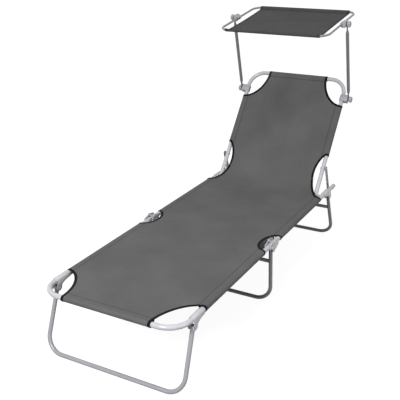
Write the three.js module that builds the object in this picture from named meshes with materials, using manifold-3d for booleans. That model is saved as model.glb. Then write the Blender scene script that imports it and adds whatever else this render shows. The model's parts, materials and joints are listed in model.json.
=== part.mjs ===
// A folding sun lounger with a canopy: three U-shaped legs, a bed frame hinged at the knee,
// a back that reclines on notched stays, and a canopy that swings and tilts on two posts.
// Millimetres, +Z up, +Y from the foot end to the head end, +X to the right seen from the foot.

import * as THREE from 'three';
import { mergeVertices } from 'three/addons/utils/BufferGeometryUtils.js';
import Module from 'manifold-3d';

const wasm = await Module();
wasm.setup();

// Angles
const degree = Math.PI / 180;
const reclineAngle = 51.5 * degree;
const postLean = 14.3 * degree;
const canopyTilt = 8 * degree;
const backPositions = [74, 62, 51.5, 40, 28, 16].map((angle) => angle * degree);

// Fits
const gap = 0.3;
const overrun = 3;

// Tubes
const tubeRadius = 9.5;
const tubeSides = 16;
const pinSides = 10;
const bendSteps = 7;
const beltPoints = 20;
const archSteps = 6;

// Bed
const railHalfWidth = 280.5;
const bedHeight = 255;
const footLength = 714;
const seatLength = 572;
const railTail = 154;
const footBend = 80;
const capDome = 4;

// Knee hinge
const kneeRise = 13;
const plateThickness = 2;
const kneeLobe = 9;
const seatPlateReach = 27;
const seatPlateLobe = 12;
const footPlateReach = 30;
const footPlateLobe = 10;
const legLobe = 9;

// Pins
const pinRadius = 3;
const pinHead = 5.5;
const pinDome = 2;

// Legs
const legRadius = 8;
const legDrop = 26;
const middleLegDrop = 18.5;
const legFlare = 4.5;
const legBend = 65;
const footLegInset = 90;
const footLegSpread = 83;
const middleLegSetback = 8;
const rearLegPast = 78;
const rearLegSpread = 78;
const middleCrossbarDrop = 52;
const rearCrossbarDrop = 68;

// Leg brackets
const bracketWall = 1.5;
const bracketShort = 5;
const bracketLong = 60;
const bracketCorner = 4;
const bracketLobe = 13;
const stopHeight = 12;
const stopDrop = 5;
const stopLobe = 7;

// Back
const hingeSpace = 13.5;
const backHalfWidth = railHalfWidth - 2 * tubeRadius - hingeSpace;
const backLength = 586;
const backBend = 75;
const spacerRadius = 6;

// Stays
const stayAlong = 133;
const stayThickness = 2.5;
const stayHalfWidth = 12;
const stayStandoff = 5;
const stayPinPast = 122;
const notchReach = 14;
const notchSlope = 7;

// Canopy posts and clamps
const clampSetback = 94;
const clampLength = 32;
const clampHalfHeight = 14;
const clampJaw = 3.5;
const clampMouth = 7;
const clampFace = 28.5;
const clampCorner = 4;
const postLength = 373;
const postRadius = 7.5;
const postFlat = 5;
const postFlatHalfWidth = 8.5;
const postFlatLength = 26;
const postTaper = 16;
const postSides = 12;

// Knobs
const knobRadius = 14;
const knobLength = 13;
const knobBevel = 2;
const knobScallop = 1.3;
const knobLobes = 6;
const knobPoints = 24;
const studReach = 12;

// Canopy
const canopyOverhang = 9;
const canopyHalfWidth = backHalfWidth + canopyOverhang;
const canopyFront = 204;
const canopyBack = 198;
const canopyTubeRadius = 5;
const canopyBend = 50;
const canopyClothInset = 31;
const canopyClothHalf = canopyHalfWidth - canopyClothInset;
const canopyClothWaist = 3;

// Cloth
const cloth = 1.2;
const clothSplit = 2;
const footCutWidth = 105;
const footCutLength = 158;
const kneeCutWidth = 47;
const kneeCutLength = 76;
const hingeCutWidth = 36;
const hingeCutLength = 96;
const hingeCutAlong = 91;
const hingeCutEdge = 7;
const headCutWidth = 103;
const headCutLength = 140;
const cutEdge = 4.5;
const cutPoints = 44;
const hingeClothTangent = 50;
const hingeClothInset = 26;
const hingeClothSteps = 8;

// Places that follow from the sizes above
const kneeY = footLength;
const hingeY = footLength + seatLength;
const barHeight = legRadius * Math.cos(Math.PI / tubeSides);
const legFall = bedHeight - legDrop - barHeight;
const middleLegFall = bedHeight - middleLegDrop - barHeight;
const footLegAngle = -Math.atan2(footLegSpread, legFall);
const rearLegAngle = Math.atan2(rearLegSpread, legFall);
const footPlateFace = tubeRadius + gap;
const seatPlateFace = footPlateFace + plateThickness + gap;
const clampAlong = backLength - clampSetback;
const clampOuter = backHalfWidth + clampFace;
const hingeClothHalf = backHalfWidth - hingeClothInset;
const postX = clampOuter + gap + postFlat / 2;
const stayX = backHalfWidth + tubeRadius + stayStandoff + stayThickness / 2;
const clothBase = tubeRadius + gap;
const sides = [['left', -1], ['right', 1]];

const powderCoat = { color: '#b4b5bb', roughness: 0.45, metalness: 0.35 };
const zincSteel = { color: '#a7a9ad', roughness: 0.4, metalness: 0.8 };
const greyPlastic = { color: '#9a9ba0', roughness: 0.55, metalness: 0 };
const bedCloth = { color: '#666666', roughness: 0.9, metalness: 0 };
const canopyCloth = { color: '#525252', roughness: 0.9, metalness: 0 };

const along = (x, y, z) => new THREE.Vector3(x, y, z);

// A path of straight runs joined by round bends in one plane. Its rings lie only at the ends of
// the runs and round the bends, and its frames keep the section square to the plane.
class BentPath extends THREE.Curve {
  constructor(corners, bend, normal) {
    super();
    this.normal = normal;
    this.stations = [];
    const first = corners[1].clone().sub(corners[0]).normalize();
    this.stations.push({ point: corners[0], tangent: first });
    for (let i = 1; i < corners.length - 1; i += 1) this.addBend(corners, i, bend);
    const last = corners.at(-1).clone().sub(corners.at(-2)).normalize();
    this.stations.push({ point: corners.at(-1), tangent: last });
  }

  addBend(corners, i, bend) {
    const into = corners[i].clone().sub(corners[i - 1]).normalize();
    const out = corners[i + 1].clone().sub(corners[i]).normalize();
    const turn = into.angleTo(out);
    const inward = out.clone().addScaledVector(into, -Math.cos(turn)).normalize();
    const start = corners[i].clone().addScaledVector(into, -bend * Math.tan(turn / 2));
    for (let step = 0; step <= bendSteps; step += 1) {
      const angle = (turn * step) / bendSteps;
      const point = start.clone().addScaledVector(into, bend * Math.sin(angle));
      point.addScaledVector(inward, bend * (1 - Math.cos(angle)));
      const tangent = into.clone().multiplyScalar(Math.cos(angle));
      tangent.addScaledVector(inward, Math.sin(angle));
      this.stations.push({ point, tangent });
    }
  }

  get steps() { return this.stations.length - 1; }

  station(share) { return this.stations[Math.round(share * this.steps)]; }

  getPointAt(share) { return this.station(share).point.clone(); }

  getTangentAt(share) { return this.station(share).tangent.clone(); }

  computeFrenetFrames() {
    const tangents = this.stations.map(({ tangent }) => tangent.clone());
    const normals = tangents.map((tangent) => this.normal.clone().cross(tangent));
    const binormals = tangents.map(() => this.normal.clone());
    return { tangents, normals, binormals };
  }
}

// Solids are joined and cut as manifolds and handed back as geometries
function toSolid(geometry) {
  const bare = geometry.clone();
  bare.deleteAttribute('normal');
  bare.deleteAttribute('uv');
  const merged = mergeVertices(bare);
  const triVerts = Uint32Array.from(merged.index.array);
  const vertProperties = merged.attributes.position.array;
  return new wasm.Manifold(new wasm.Mesh({ numProp: 3, vertProperties, triVerts }));
}

function toGeometry(solid) {
  const { vertProperties, triVerts } = solid.getMesh();
  const geometry = new THREE.BufferGeometry();
  geometry.setAttribute('position', new THREE.BufferAttribute(vertProperties, 3));
  geometry.setIndex(new THREE.BufferAttribute(triVerts, 1));
  return geometry.toNonIndexed();
}

function cut(body, ...tools) {
  return toGeometry(tools.reduce((solid, tool) => solid.subtract(toSolid(tool)), toSolid(body)));
}

function join(body, ...others) {
  return toGeometry(others.reduce((solid, other) => solid.add(toSolid(other)), toSolid(body)));
}

function common(body, other) {
  return toGeometry(toSolid(body).intersect(toSolid(other)));
}

// Outlines
function ringPoints(radius, count, turn = 0) {
  return Array.from({ length: count }, (_, i) => {
    const angle = turn + (2 * Math.PI * i) / count;
    return new THREE.Vector2(radius * Math.cos(angle), radius * Math.sin(angle));
  });
}

function disc(radius, count, turn) {
  return new THREE.Shape(ringPoints(radius, count, turn));
}

// The outline that a belt takes round a set of circles, each given as [x, y, radius]
function beltOutline(circles, count = beltPoints) {
  const points = circles.flatMap(([x, y, radius]) =>
    ringPoints(radius, count).map((point) => point.add(new THREE.Vector2(x, y))));
  points.sort((a, b) => a.x - b.x || a.y - b.y);
  const turnsRight = (a, b, c) => (b.x - a.x) * (c.y - a.y) - (b.y - a.y) * (c.x - a.x) <= 0;
  const chain = (list) => list.reduce((hull, point) => {
    while (hull.length > 1 && turnsRight(hull.at(-2), hull.at(-1), point)) hull.pop();
    return [...hull, point];
  }, []).slice(0, -1);
  return new THREE.Shape([...chain(points), ...chain([...points].reverse())]);
}

function addHole(shape, x, y, radius, count = pinSides) {
  const middle = new THREE.Vector2(x, y);
  shape.holes.push(new THREE.Path(ringPoints(radius, count).map((point) => point.add(middle))));
  return shape;
}

// A shape drawn in Y and Z, given thickness along X between two places
function plateAcross(shape, fromX, toX) {
  const options = { depth: toX - fromX, bevelEnabled: false, curveSegments: archSteps };
  const plate = new THREE.ExtrudeGeometry(shape, options);
  return plate.rotateX(Math.PI / 2).rotateZ(Math.PI / 2).translate(fromX, 0, 0);
}

// A shape drawn in X and Z, given length along Y between two places
function barAlong(shape, fromY, toY) {
  const options = { depth: toY - fromY, bevelEnabled: false, curveSegments: archSteps };
  const bar = new THREE.ExtrudeGeometry(shape, options);
  return bar.rotateX(Math.PI / 2).translate(0, toY, 0);
}

// A shape drawn in X and Y, given height along Z between two places
function slab(shape, fromZ, toZ) {
  const depth = toZ - fromZ;
  return new THREE.ExtrudeGeometry(shape, { depth, bevelEnabled: false }).translate(0, 0, fromZ);
}

function bentTube(corners, options = {}) {
  const { radius = tubeRadius, bend = 0, normal = along(0, 0, 1), turn = 0 } = options;
  const section = disc(radius, tubeSides, turn);
  const path = new BentPath(corners, bend, normal);
  return new THREE.ExtrudeGeometry(section, { steps: path.steps, extrudePath: path });
}

// A round bar that runs along X, used for cutting holes
function crossCutter(fromX, toX, y, z, radius) {
  return plateAcross(disc(radius, pinSides), fromX, toX).translate(0, y, z);
}

// A pin along X with domed heads, between the outer faces of what it holds
const headProfile = [[pinRadius, gap], [pinHead, gap], [pinHead / 2, gap + pinDome], [0, gap + pinDome]];

function turnedPin(profile) {
  const points = profile.map(([x, y]) => new THREE.Vector2(x, y));
  return new THREE.LatheGeometry(points, pinSides).rotateZ(-Math.PI / 2);
}

function headedPin(fromX, toX) {
  const low = headProfile.map(([x, y]) => [x, fromX - y]).reverse();
  return turnedPin([...low, ...headProfile.map(([x, y]) => [x, toX + y])]);
}

// A pin with one head, outside, and a plain end that something hooks over
function hookPin(tipX, headX) {
  return turnedPin([[0, tipX], [pinRadius, tipX], ...headProfile.map(([x, y]) => [x, headX + y])]);
}

function named(name, geometry, finish) {
  const mesh = new THREE.Mesh(geometry, new THREE.MeshStandardMaterial(finish));
  mesh.name = name;
  return mesh;
}

function body(name, x, y, z, turn = 0) {
  const group = new THREE.Group();
  group.name = name;
  group.position.set(x, y, z);
  group.rotation.x = turn;
  return group;
}

// Both signs of x in order, so that a span runs from low to high on either side
const span = (side, near, far) => (side > 0 ? [near, far] : [-far, -near]);

// A U-shaped leg hung from two pivots, with its bar on the floor. Its frame has the pivots at
// the origin and hangs along -Z, and it is turned so that one facet of the bar lies flat.
function legTube(angle, fall) {
  const length = fall / Math.cos(angle);
  const top = railHalfWidth;
  const foot = railHalfWidth + legFlare;
  const corners = [along(top, 0, legRadius), along(foot, 0, -length)];
  corners.push(along(-foot, 0, -length), along(-top, 0, legRadius));
  const turn = angle - Math.PI / tubeSides;
  const options = { radius: legRadius, bend: legBend, normal: along(0, 1, 0), turn };
  const tube = bentTube(corners, options);
  const outline = beltOutline([[0, 0, legRadius], [0, -length, legBend]]);
  const rounded = common(tube, plateAcross(outline, -foot - legBend, foot + legBend));
  return cut(rounded, crossCutter(-foot - legBend, foot + legBend, 0, 0, pinRadius + gap));
}

function legCrossbar(angle, fall, drop) {
  const length = fall / Math.cos(angle);
  const flare = (legFlare * (drop + legRadius)) / (length + legRadius);
  const end = railHalfWidth + flare - legRadius - gap;
  return bentTube([along(end, 0, -drop), along(-end, 0, -drop)], { radius: legRadius });
}

// The pivot pins of a leg, in the frame of what carries the leg
function addLegPins(parent, name, y, z, reach) {
  for (const [sideName, side] of sides) {
    const [from, to] = span(side, railHalfWidth - reach, railHalfWidth + reach);
    const pin = named(`${name}_pin_${sideName}`, headedPin(from, to), zincSteel);
    pin.position.set(0, y, z);
    parent.add(pin);
  }
}

// A pressed saddle over a rail: an arch with two ears that hold the leg's pivot, and a stop
// between the ears that the leg comes up against when it stands
function legBracket(side, angle) {
  const inner = tubeRadius + gap;
  const outer = inner + bracketWall;
  const depth = legDrop + bracketLobe + stopLobe;
  const arch = new THREE.Shape();
  arch.moveTo(outer, -depth).lineTo(outer, 0).absarc(0, 0, outer, 0, Math.PI, false);
  arch.lineTo(-outer, -depth).lineTo(-inner, -depth).lineTo(-inner, 0);
  arch.absarc(0, 0, inner, Math.PI, 0, true).lineTo(inner, -depth);
  const outward = Math.sign(angle);
  const reaches = [outward * bracketShort, -outward * bracketLong];
  const offset = legRadius + gap + bracketWall / 2;
  const stopY = Math.sin(angle) * stopDrop + outward * Math.cos(angle) * offset;
  const stopZ = -Math.cos(angle) * stopDrop + outward * Math.sin(angle) * offset;
  const top = outer - bracketCorner;
  const ends = reaches.flatMap((y) =>
    [[y, top, bracketCorner], [y, -bracketCorner, bracketCorner]]);
  const circles = [...ends, [0, -legDrop, bracketLobe], [stopY, stopZ - legDrop, stopLobe]];
  const ears = addHole(beltOutline(circles), 0, -legDrop, pinRadius + gap);
  const length = bracketLong + 2 * bracketCorner;
  const folded = common(barAlong(arch, -length, length), plateAcross(ears, -2 * outer, 2 * outer));
  const stop = new THREE.BoxGeometry(2 * inner + bracketWall, bracketWall, stopHeight);
  stop.rotateX(angle).translate(0, stopY, stopZ - legDrop);
  return join(folded, stop).translate(side * railHalfWidth, 0, 0);
}

// Knee plates, in the frame of the knee pivot
function kneePlate(circles, holes, face, side, inside) {
  const shape = beltOutline(circles);
  for (const [y, z] of holes) addHole(shape, y, z, pinRadius + gap);
  const near = inside ? railHalfWidth - face - plateThickness : railHalfWidth + face;
  const [from, to] = span(side, near, near + plateThickness);
  return plateAcross(shape, from, to);
}

function addKneePlates(parent, name, circles, holes, face) {
  for (const [sideName, side] of sides) {
    for (const [layer, inside] of [['outer', false], ['inner', true]]) {
      const plate = kneePlate(circles, holes, face, side, inside);
      parent.add(named(`${name}_${layer}_${sideName}`, plate, powderCoat));
    }
  }
}

// Cloth: a flat sheet over the tubes, sleeves round them, and elliptical cut-outs.
// The tubes' centres lie at the height given.
function sleeveAlong(x, fromY, toY, z, radius = tubeRadius) {
  const ring = disc(radius + gap + cloth, tubeSides);
  ring.holes.push(new THREE.Path(ringPoints(radius + gap, tubeSides)));
  return barAlong(ring, fromY, toY).translate(x, 0, z);
}

function sleeveAcross(halfWidth, y, z, radius = tubeRadius) {
  const ring = disc(radius + gap + cloth, tubeSides);
  ring.holes.push(new THREE.Path(ringPoints(radius + gap, tubeSides)));
  return plateAcross(ring, -halfWidth, halfWidth).translate(0, y, z);
}

function rectangle(halfWidth, fromY, toY) {
  const corners = [[-halfWidth, fromY], [halfWidth, fromY], [halfWidth, toY], [-halfWidth, toY]];
  return new THREE.Shape(corners.map(([x, y]) => new THREE.Vector2(x, y)));
}

function sheet(shape, z, radius = tubeRadius) {
  return slab(shape, z + radius + gap, z + radius + gap + cloth);
}

function ellipseCutters(x, y, width, length, z) {
  return sides.map(([, side]) => {
    const curve = new THREE.EllipseCurve(side * x, y, width, length);
    const depth = tubeRadius + gap + cloth + overrun;
    return slab(new THREE.Shape(curve.getPoints(cutPoints).slice(1)), z - depth, z + depth);
  });
}

// The foot section, in the frame of the knee pivot
function footSection() {
  const section = body('foot_section', 0, kneeY, bedHeight + kneeRise);
  const endY = -gap / 2;
  const corners = [along(railHalfWidth, endY, -kneeRise), along(railHalfWidth, -footLength, -kneeRise)];
  corners.push(along(-railHalfWidth, -footLength, -kneeRise), along(-railHalfWidth, endY, -kneeRise));
  section.add(named('foot_frame', bentTube(corners, { bend: footBend }), powderCoat));

  const circles = [[0, 0, kneeLobe], [-footPlateReach, -kneeRise, footPlateLobe]];
  addKneePlates(section, 'knee_foot_plate', circles, [[0, 0]], footPlateFace);

  const pivotY = footLegInset - footLength;
  for (const [sideName, side] of sides) {
    const name = `foot_leg_bracket_${sideName}`;
    const bracket = named(name, legBracket(side, footLegAngle), powderCoat);
    bracket.position.set(0, pivotY, -kneeRise);
    section.add(bracket);
  }
  addLegPins(section, 'foot_leg', pivotY, -kneeRise - legDrop, tubeRadius + gap + bracketWall);
  section.add(named('foot_fabric', footFabric(), bedCloth));

  const leg = body('foot_leg', 0, pivotY, -kneeRise - legDrop, footLegAngle);
  leg.add(named('foot_leg_tube', legTube(footLegAngle, legFall), powderCoat));
  section.add(leg);
  return section;
}

function footFabric() {
  const z = -kneeRise;
  const edge = railHalfWidth;
  const flat = sheet(rectangle(edge, -footLength, -clothSplit), z);
  const sleeves = sides.map(([, side]) => sleeveAlong(side * edge, -footLength, -clothSplit, z));
  const whole = join(flat, ...sleeves, sleeveAcross(edge, -footLength, z));
  const corners = ellipseCutters(edge + cutEdge, -footLength, footCutWidth, footCutLength, z);
  const knees = ellipseCutters(edge + 2 * cutEdge, -middleLegSetback, kneeCutWidth, kneeCutLength, z);
  return cut(whole, ...corners, ...knees);
}

// The seat, in the frame of the whole lounger: the body that everything else hangs from
function seatRail(side) {
  const corners = [along(side * railHalfWidth, kneeY + gap / 2, bedHeight)];
  corners.push(along(side * railHalfWidth, hingeY + railTail, bedHeight));
  const [from, to] = span(side, railHalfWidth - 2 * tubeRadius, railHalfWidth + 2 * tubeRadius);
  const holes = [hingeY, hingeY + stayPinPast].map((y) =>
    crossCutter(from, to, y, bedHeight, pinRadius + gap));
  return cut(bentTube(corners), ...holes);
}

function railCap(side) {
  const profile = [[0, gap], [tubeRadius, gap], [tubeRadius, gap + capDome / 2]];
  profile.push([tubeRadius / 2, gap + capDome], [0, gap + capDome]);
  const cap = new THREE.LatheGeometry(profile.map(([x, y]) => new THREE.Vector2(x, y)), tubeSides);
  return cap.translate(side * railHalfWidth, hingeY + railTail, bedHeight);
}

function seatFabric() {
  const from = kneeY + clothSplit;
  const to = hingeY - hingeClothTangent - gap;
  const flat = sheet(rectangle(railHalfWidth, from, to), bedHeight);
  const sleeves = sides.map(([, side]) => sleeveAlong(side * railHalfWidth, from, to, bedHeight));
  const kneeMiddle = kneeY - middleLegSetback;
  const edge = railHalfWidth + 2 * cutEdge;
  const knees = ellipseCutters(edge, kneeMiddle, kneeCutWidth, kneeCutLength, bedHeight);
  return cut(join(flat, ...sleeves), ...knees);
}

// The free band of cloth between the seat and the back, bent to a round between the two planes
function hingeFabric() {
  const half = reclineAngle / 2;
  const meeting = hingeY - (clothBase + cloth) * Math.tan(half);
  const tangent = hingeClothTangent - (hingeY - meeting);
  const upper = tangent / Math.tan(half);
  const middleZ = bedHeight + clothBase + cloth + upper;
  const startY = meeting - tangent;
  const shape = new THREE.Shape();
  shape.absarc(startY, middleZ, upper, -Math.PI / 2, reclineAngle - Math.PI / 2, false);
  shape.absarc(startY, middleZ, upper + cloth, reclineAngle - Math.PI / 2, -Math.PI / 2, true);
  const options = { depth: 2 * hingeClothHalf, bevelEnabled: false, curveSegments: hingeClothSteps };
  const band = new THREE.ExtrudeGeometry(shape, options);
  return band.rotateX(Math.PI / 2).rotateZ(Math.PI / 2).translate(-hingeClothHalf, 0, 0);
}

function addHingeBolts(parent) {
  const inner = backHalfWidth - tubeRadius;
  const outer = railHalfWidth + tubeRadius;
  for (const [sideName, side] of sides) {
    const [from, to] = span(side, inner, outer);
    const bolt = named(`back_hinge_bolt_${sideName}`, headedPin(from, to), zincSteel);
    bolt.position.set(0, hingeY, bedHeight);
    const bush = addHole(disc(spacerRadius, tubeSides), 0, 0, pinRadius + gap);
    const near = backHalfWidth + tubeRadius + gap;
    const far = railHalfWidth - tubeRadius - gap;
    const spacer = plateAcross(bush, ...span(side, near, far)).translate(0, hingeY, bedHeight);
    parent.add(bolt, named(`back_hinge_spacer_${sideName}`, spacer, greyPlastic));
  }
}

function addStayPins(parent) {
  for (const [sideName, side] of sides) {
    const pinBody = hookPin(stayX + stayThickness / 2 + gap, railHalfWidth + tubeRadius);
    const pin = named(`stay_pin_${sideName}`, mirrored(pinBody, side), zincSteel);
    pin.position.set(0, hingeY + stayPinPast, bedHeight);
    parent.add(pin);
  }
}

function addMiddleLeg(parent) {
  const z = bedHeight - middleLegDrop;
  const y = kneeY - middleLegSetback;
  addLegPins(parent, 'middle_leg', y, z, seatPlateFace + plateThickness);
  const leg = body('middle_leg', 0, y, z);
  leg.add(named('middle_leg_tube', legTube(0, middleLegFall), powderCoat));
  leg.add(named('middle_leg_crossbar', legCrossbar(0, middleLegFall, middleCrossbarDrop), powderCoat));
  parent.add(leg);
}

function addRearLeg(parent) {
  const y = hingeY + rearLegPast;
  for (const [sideName, side] of sides) {
    const name = `rear_leg_bracket_${sideName}`;
    const bracket = named(name, legBracket(side, rearLegAngle), powderCoat);
    bracket.position.set(0, y, bedHeight);
    parent.add(bracket);
  }
  addLegPins(parent, 'rear_leg', y, bedHeight - legDrop, tubeRadius + gap + bracketWall);
  const leg = body('rear_leg', 0, y, bedHeight - legDrop, rearLegAngle);
  leg.add(named('rear_leg_tube', legTube(rearLegAngle, legFall), powderCoat));
  const crossbar = legCrossbar(rearLegAngle, legFall, rearCrossbarDrop);
  leg.add(named('rear_leg_crossbar', crossbar, powderCoat));
  parent.add(leg);
}

function seat() {
  const group = body('seat', 0, 0, 0);
  for (const [sideName, side] of sides) {
    group.add(named(`seat_rail_${sideName}`, seatRail(side), powderCoat));
    group.add(named(`rail_cap_${sideName}`, railCap(side), greyPlastic));
    const reach = seatPlateFace + plateThickness;
    const [from, to] = span(side, railHalfWidth - reach, railHalfWidth + reach);
    const pin = named(`knee_pin_${sideName}`, headedPin(from, to), zincSteel);
    pin.position.set(0, kneeY, bedHeight + kneeRise);
    group.add(pin);
  }
  const plates = body('knee_plates', 0, kneeY, bedHeight + kneeRise);
  const legPivot = [-middleLegSetback, -kneeRise - middleLegDrop];
  const circles = [[0, 0, kneeLobe], [seatPlateReach, -kneeRise, seatPlateLobe]];
  circles.push([...legPivot, legLobe]);
  addKneePlates(plates, 'knee_seat_plate', circles, [[0, 0], legPivot], seatPlateFace);
  group.add(plates, named('seat_fabric', seatFabric(), bedCloth));
  group.add(named('hinge_fabric', hingeFabric(), bedCloth));
  addHingeBolts(group);
  addStayPins(group);
  addMiddleLeg(group);
  addRearLeg(group);
  return group;
}

// The back, in a frame with its hinge at the origin and its tubes along +Y
function backFrame() {
  const corners = [along(backHalfWidth, -tubeRadius, 0), along(backHalfWidth, backLength, 0)];
  corners.push(along(-backHalfWidth, backLength, 0), along(-backHalfWidth, -tubeRadius, 0));
  const tube = bentTube(corners, { bend: backBend, normal: along(0, 0, -1) });
  const outline = beltOutline([[0, 0, tubeRadius], [backLength, 0, 2 * tubeRadius]]);
  const reach = backHalfWidth + 2 * tubeRadius;
  const rounded = common(tube, plateAcross(outline, -reach, reach));
  const holes = [0, stayAlong].map((y) => crossCutter(-reach, reach, y, 0, pinRadius + gap));
  return cut(rounded, ...holes);
}

function backFabric() {
  const from = hingeClothTangent + gap;
  const flat = sheet(rectangle(backHalfWidth, from, backLength), 0);
  const sleeves = sides.map(([, side]) => sleeveAlong(side * backHalfWidth, from, backLength, 0));
  const whole = join(flat, ...sleeves, sleeveAcross(backHalfWidth, backLength, 0));
  const heads = ellipseCutters(backHalfWidth + cutEdge, backLength, headCutWidth, headCutLength, 0);
  const edge = backHalfWidth + hingeCutEdge;
  const hinges = ellipseCutters(edge, hingeCutAlong, hingeCutWidth, hingeCutLength, 0);
  return cut(whole, ...heads, ...hinges);
}

// How far the stay's rivet lies from the pin on the rail, and the slope of the line between
function stayLine(angle) {
  const rise = stayAlong * Math.sin(angle);
  const reach = stayPinPast - stayAlong * Math.cos(angle);
  return { length: Math.hypot(reach, rise), slope: Math.atan2(-rise, reach) };
}

// A notched bar that hooks over the pin on the rail: one notch for each position of the back
function stayBar() {
  const longest = stayLine(backPositions[0]).length;
  const outline = beltOutline([[0, 0, stayHalfWidth], [longest, 0, stayHalfWidth]]);
  addHole(outline, 0, 0, pinRadius + gap);
  const bar = plateAcross(outline, -stayThickness / 2, stayThickness / 2);
  const notches = backPositions.map((angle) => {
    const { length } = stayLine(angle);
    const radius = pinRadius + gap;
    const slot = beltOutline([[length, 0, radius], [length + notchSlope, -notchReach, radius]]);
    return plateAcross(slot, -stayThickness, stayThickness);
  });
  return cut(bar, ...notches);
}

function addStays(parent) {
  for (const [sideName, side] of sides) {
    const slope = stayLine(reclineAngle).slope - reclineAngle;
    const stay = body(`stay_${sideName}`, side * stayX, stayAlong, 0, slope);
    stay.add(named(`stay_bar_${sideName}`, stayBar(), zincSteel));
    parent.add(stay);
    const [from, to] = span(side, backHalfWidth - tubeRadius, stayX + stayThickness / 2);
    const rivet = named(`stay_rivet_${sideName}`, headedPin(from, to), zincSteel);
    rivet.position.set(0, stayAlong, 0);
    parent.add(rivet);
  }
}

// A split plastic clamp: a jaw that snaps round a tube and a block that takes the knob's stud.
// The tube runs along Y at the origin, and the block reaches out along +X.
function clampBlock(radius, face) {
  const bore = radius + 2 * gap;
  const jaw = Math.min(bore + clampJaw, clampHalfHeight);
  const mouth = Math.min(clampMouth, bore * Math.cos(Math.PI / 4));
  const shape = new THREE.Shape();
  const outerMouth = Math.asin(mouth / jaw);
  const innerMouth = Math.asin(mouth / bore);
  shape.absarc(0, 0, jaw, Math.PI - outerMouth, Math.PI / 2, true);
  shape.lineTo(radius, clampHalfHeight).lineTo(face - clampCorner, clampHalfHeight);
  shape.absarc(face - clampCorner, clampHalfHeight - clampCorner, clampCorner, Math.PI / 2, 0, true);
  shape.absarc(face - clampCorner, clampCorner - clampHalfHeight, clampCorner, 0, -Math.PI / 2, true);
  shape.lineTo(radius, -clampHalfHeight).lineTo(0, -jaw);
  shape.absarc(0, 0, jaw, -Math.PI / 2, outerMouth - Math.PI, true);
  shape.absarc(0, 0, bore, innerMouth - Math.PI, Math.PI - innerMouth, false);
  const block = barAlong(shape, -clampLength / 2, clampLength / 2);
  const hole = crossCutter(face - studReach - gap, face + overrun, 0, 0, pinRadius + gap);
  return cut(block, hole);
}

function mirrored(geometry, side) {
  if (side > 0) return geometry;
  return geometry.rotateZ(Math.PI);
}

function addClamps(parent, name, halfWidth, radius, y) {
  for (const [sideName, side] of sides) {
    const block = mirrored(clampBlock(radius, clampOuter - halfWidth), side);
    block.translate(side * halfWidth, y, 0);
    parent.add(named(`${name}_${sideName}`, block, greyPlastic));
  }
}

// A lobed hand knob whose stud passes through the post into the clamp. Its frame has the post's
// outer face at the origin, and the knob reaches out along +X.
function knobBody() {
  const outline = Array.from({ length: knobPoints }, (_, i) => {
    const angle = (2 * Math.PI * i) / knobPoints;
    const radius = knobRadius - knobBevel - knobScallop * (1 - Math.cos(knobLobes * angle)) / 2;
    return new THREE.Vector2(radius * Math.cos(angle), radius * Math.sin(angle));
  });
  const options = { depth: knobLength - knobBevel, bevelThickness: knobBevel, bevelSize: knobBevel };
  const grip = new THREE.ExtrudeGeometry(new THREE.Shape(outline), { ...options, bevelSegments: 1 });
  grip.rotateX(Math.PI / 2).rotateZ(Math.PI / 2).translate(gap + knobBevel, 0, 0);
  const reach = postFlat + 2 * gap + studReach - gap;
  return join(grip, plateAcross(disc(pinRadius, tubeSides), -reach, knobLength / 2));
}

function addKnobs(parent, name, y) {
  for (const [sideName, side] of sides) {
    const outerFace = postX + postFlat / 2;
    const knob = body(`${name}_${sideName}`, side * outerFace, y, 0);
    knob.add(named(`${name}_body_${sideName}`, mirrored(knobBody(), side), greyPlastic));
    parent.add(knob);
  }
}

// A canopy post: a round tube pressed flat at both ends, where the knobs' studs pass through
function postTube() {
  const reach = postFlatHalfWidth;
  const stations = [-reach, postFlatLength, postFlatLength + postTaper];
  const heights = [...stations, ...stations.map((height) => postLength - height).reverse()];
  const tube = new THREE.CylinderGeometry(1, 1, heights.length - 1, postSides, heights.length - 1);
  const position = tube.attributes.position;
  for (let i = 0; i < position.count; i += 1) {
    const level = Math.round(position.getY(i) + (heights.length - 1) / 2);
    const flat = level < 2 || level > heights.length - 3;
    const thickness = flat ? postFlat / 2 : postRadius;
    const width = flat ? postFlatHalfWidth : postRadius;
    position.setXYZ(i, position.getX(i) * thickness, heights[level], position.getZ(i) * width);
  }
  const outline = beltOutline([[0, 0, postFlatHalfWidth], [postLength, 0, postFlatHalfWidth]]);
  const rounded = common(tube, plateAcross(outline, -2 * postRadius, 2 * postRadius));
  const holes = [0, postLength].map((y) =>
    crossCutter(-2 * postRadius, 2 * postRadius, y, 0, pinRadius + gap));
  return cut(rounded, ...holes);
}

// The canopy, in a frame with its hinge line at the origin and its depth along Y
function canopyFrame() {
  const normal = along(0, 0, 1);
  const slit = gap / 2;
  const corners = [along(-slit, canopyBack, 0), along(-canopyHalfWidth, canopyBack, 0)];
  corners.push(along(-canopyHalfWidth, -canopyFront, 0), along(canopyHalfWidth, -canopyFront, 0));
  corners.push(along(canopyHalfWidth, canopyBack, 0), along(slit, canopyBack, 0));
  return bentTube(corners, { radius: canopyTubeRadius, bend: canopyBend, normal });
}

// The tube's run round one end of the canopy
function canopyEnd(radius, y) {
  const corners = [along(canopyHalfWidth, 0, 0), along(canopyHalfWidth, y, 0)];
  corners.push(along(-canopyHalfWidth, y, 0), along(-canopyHalfWidth, 0, 0));
  return bentTube(corners, { radius, bend: canopyBend, normal: along(0, 0, Math.sign(y)) });
}

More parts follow.
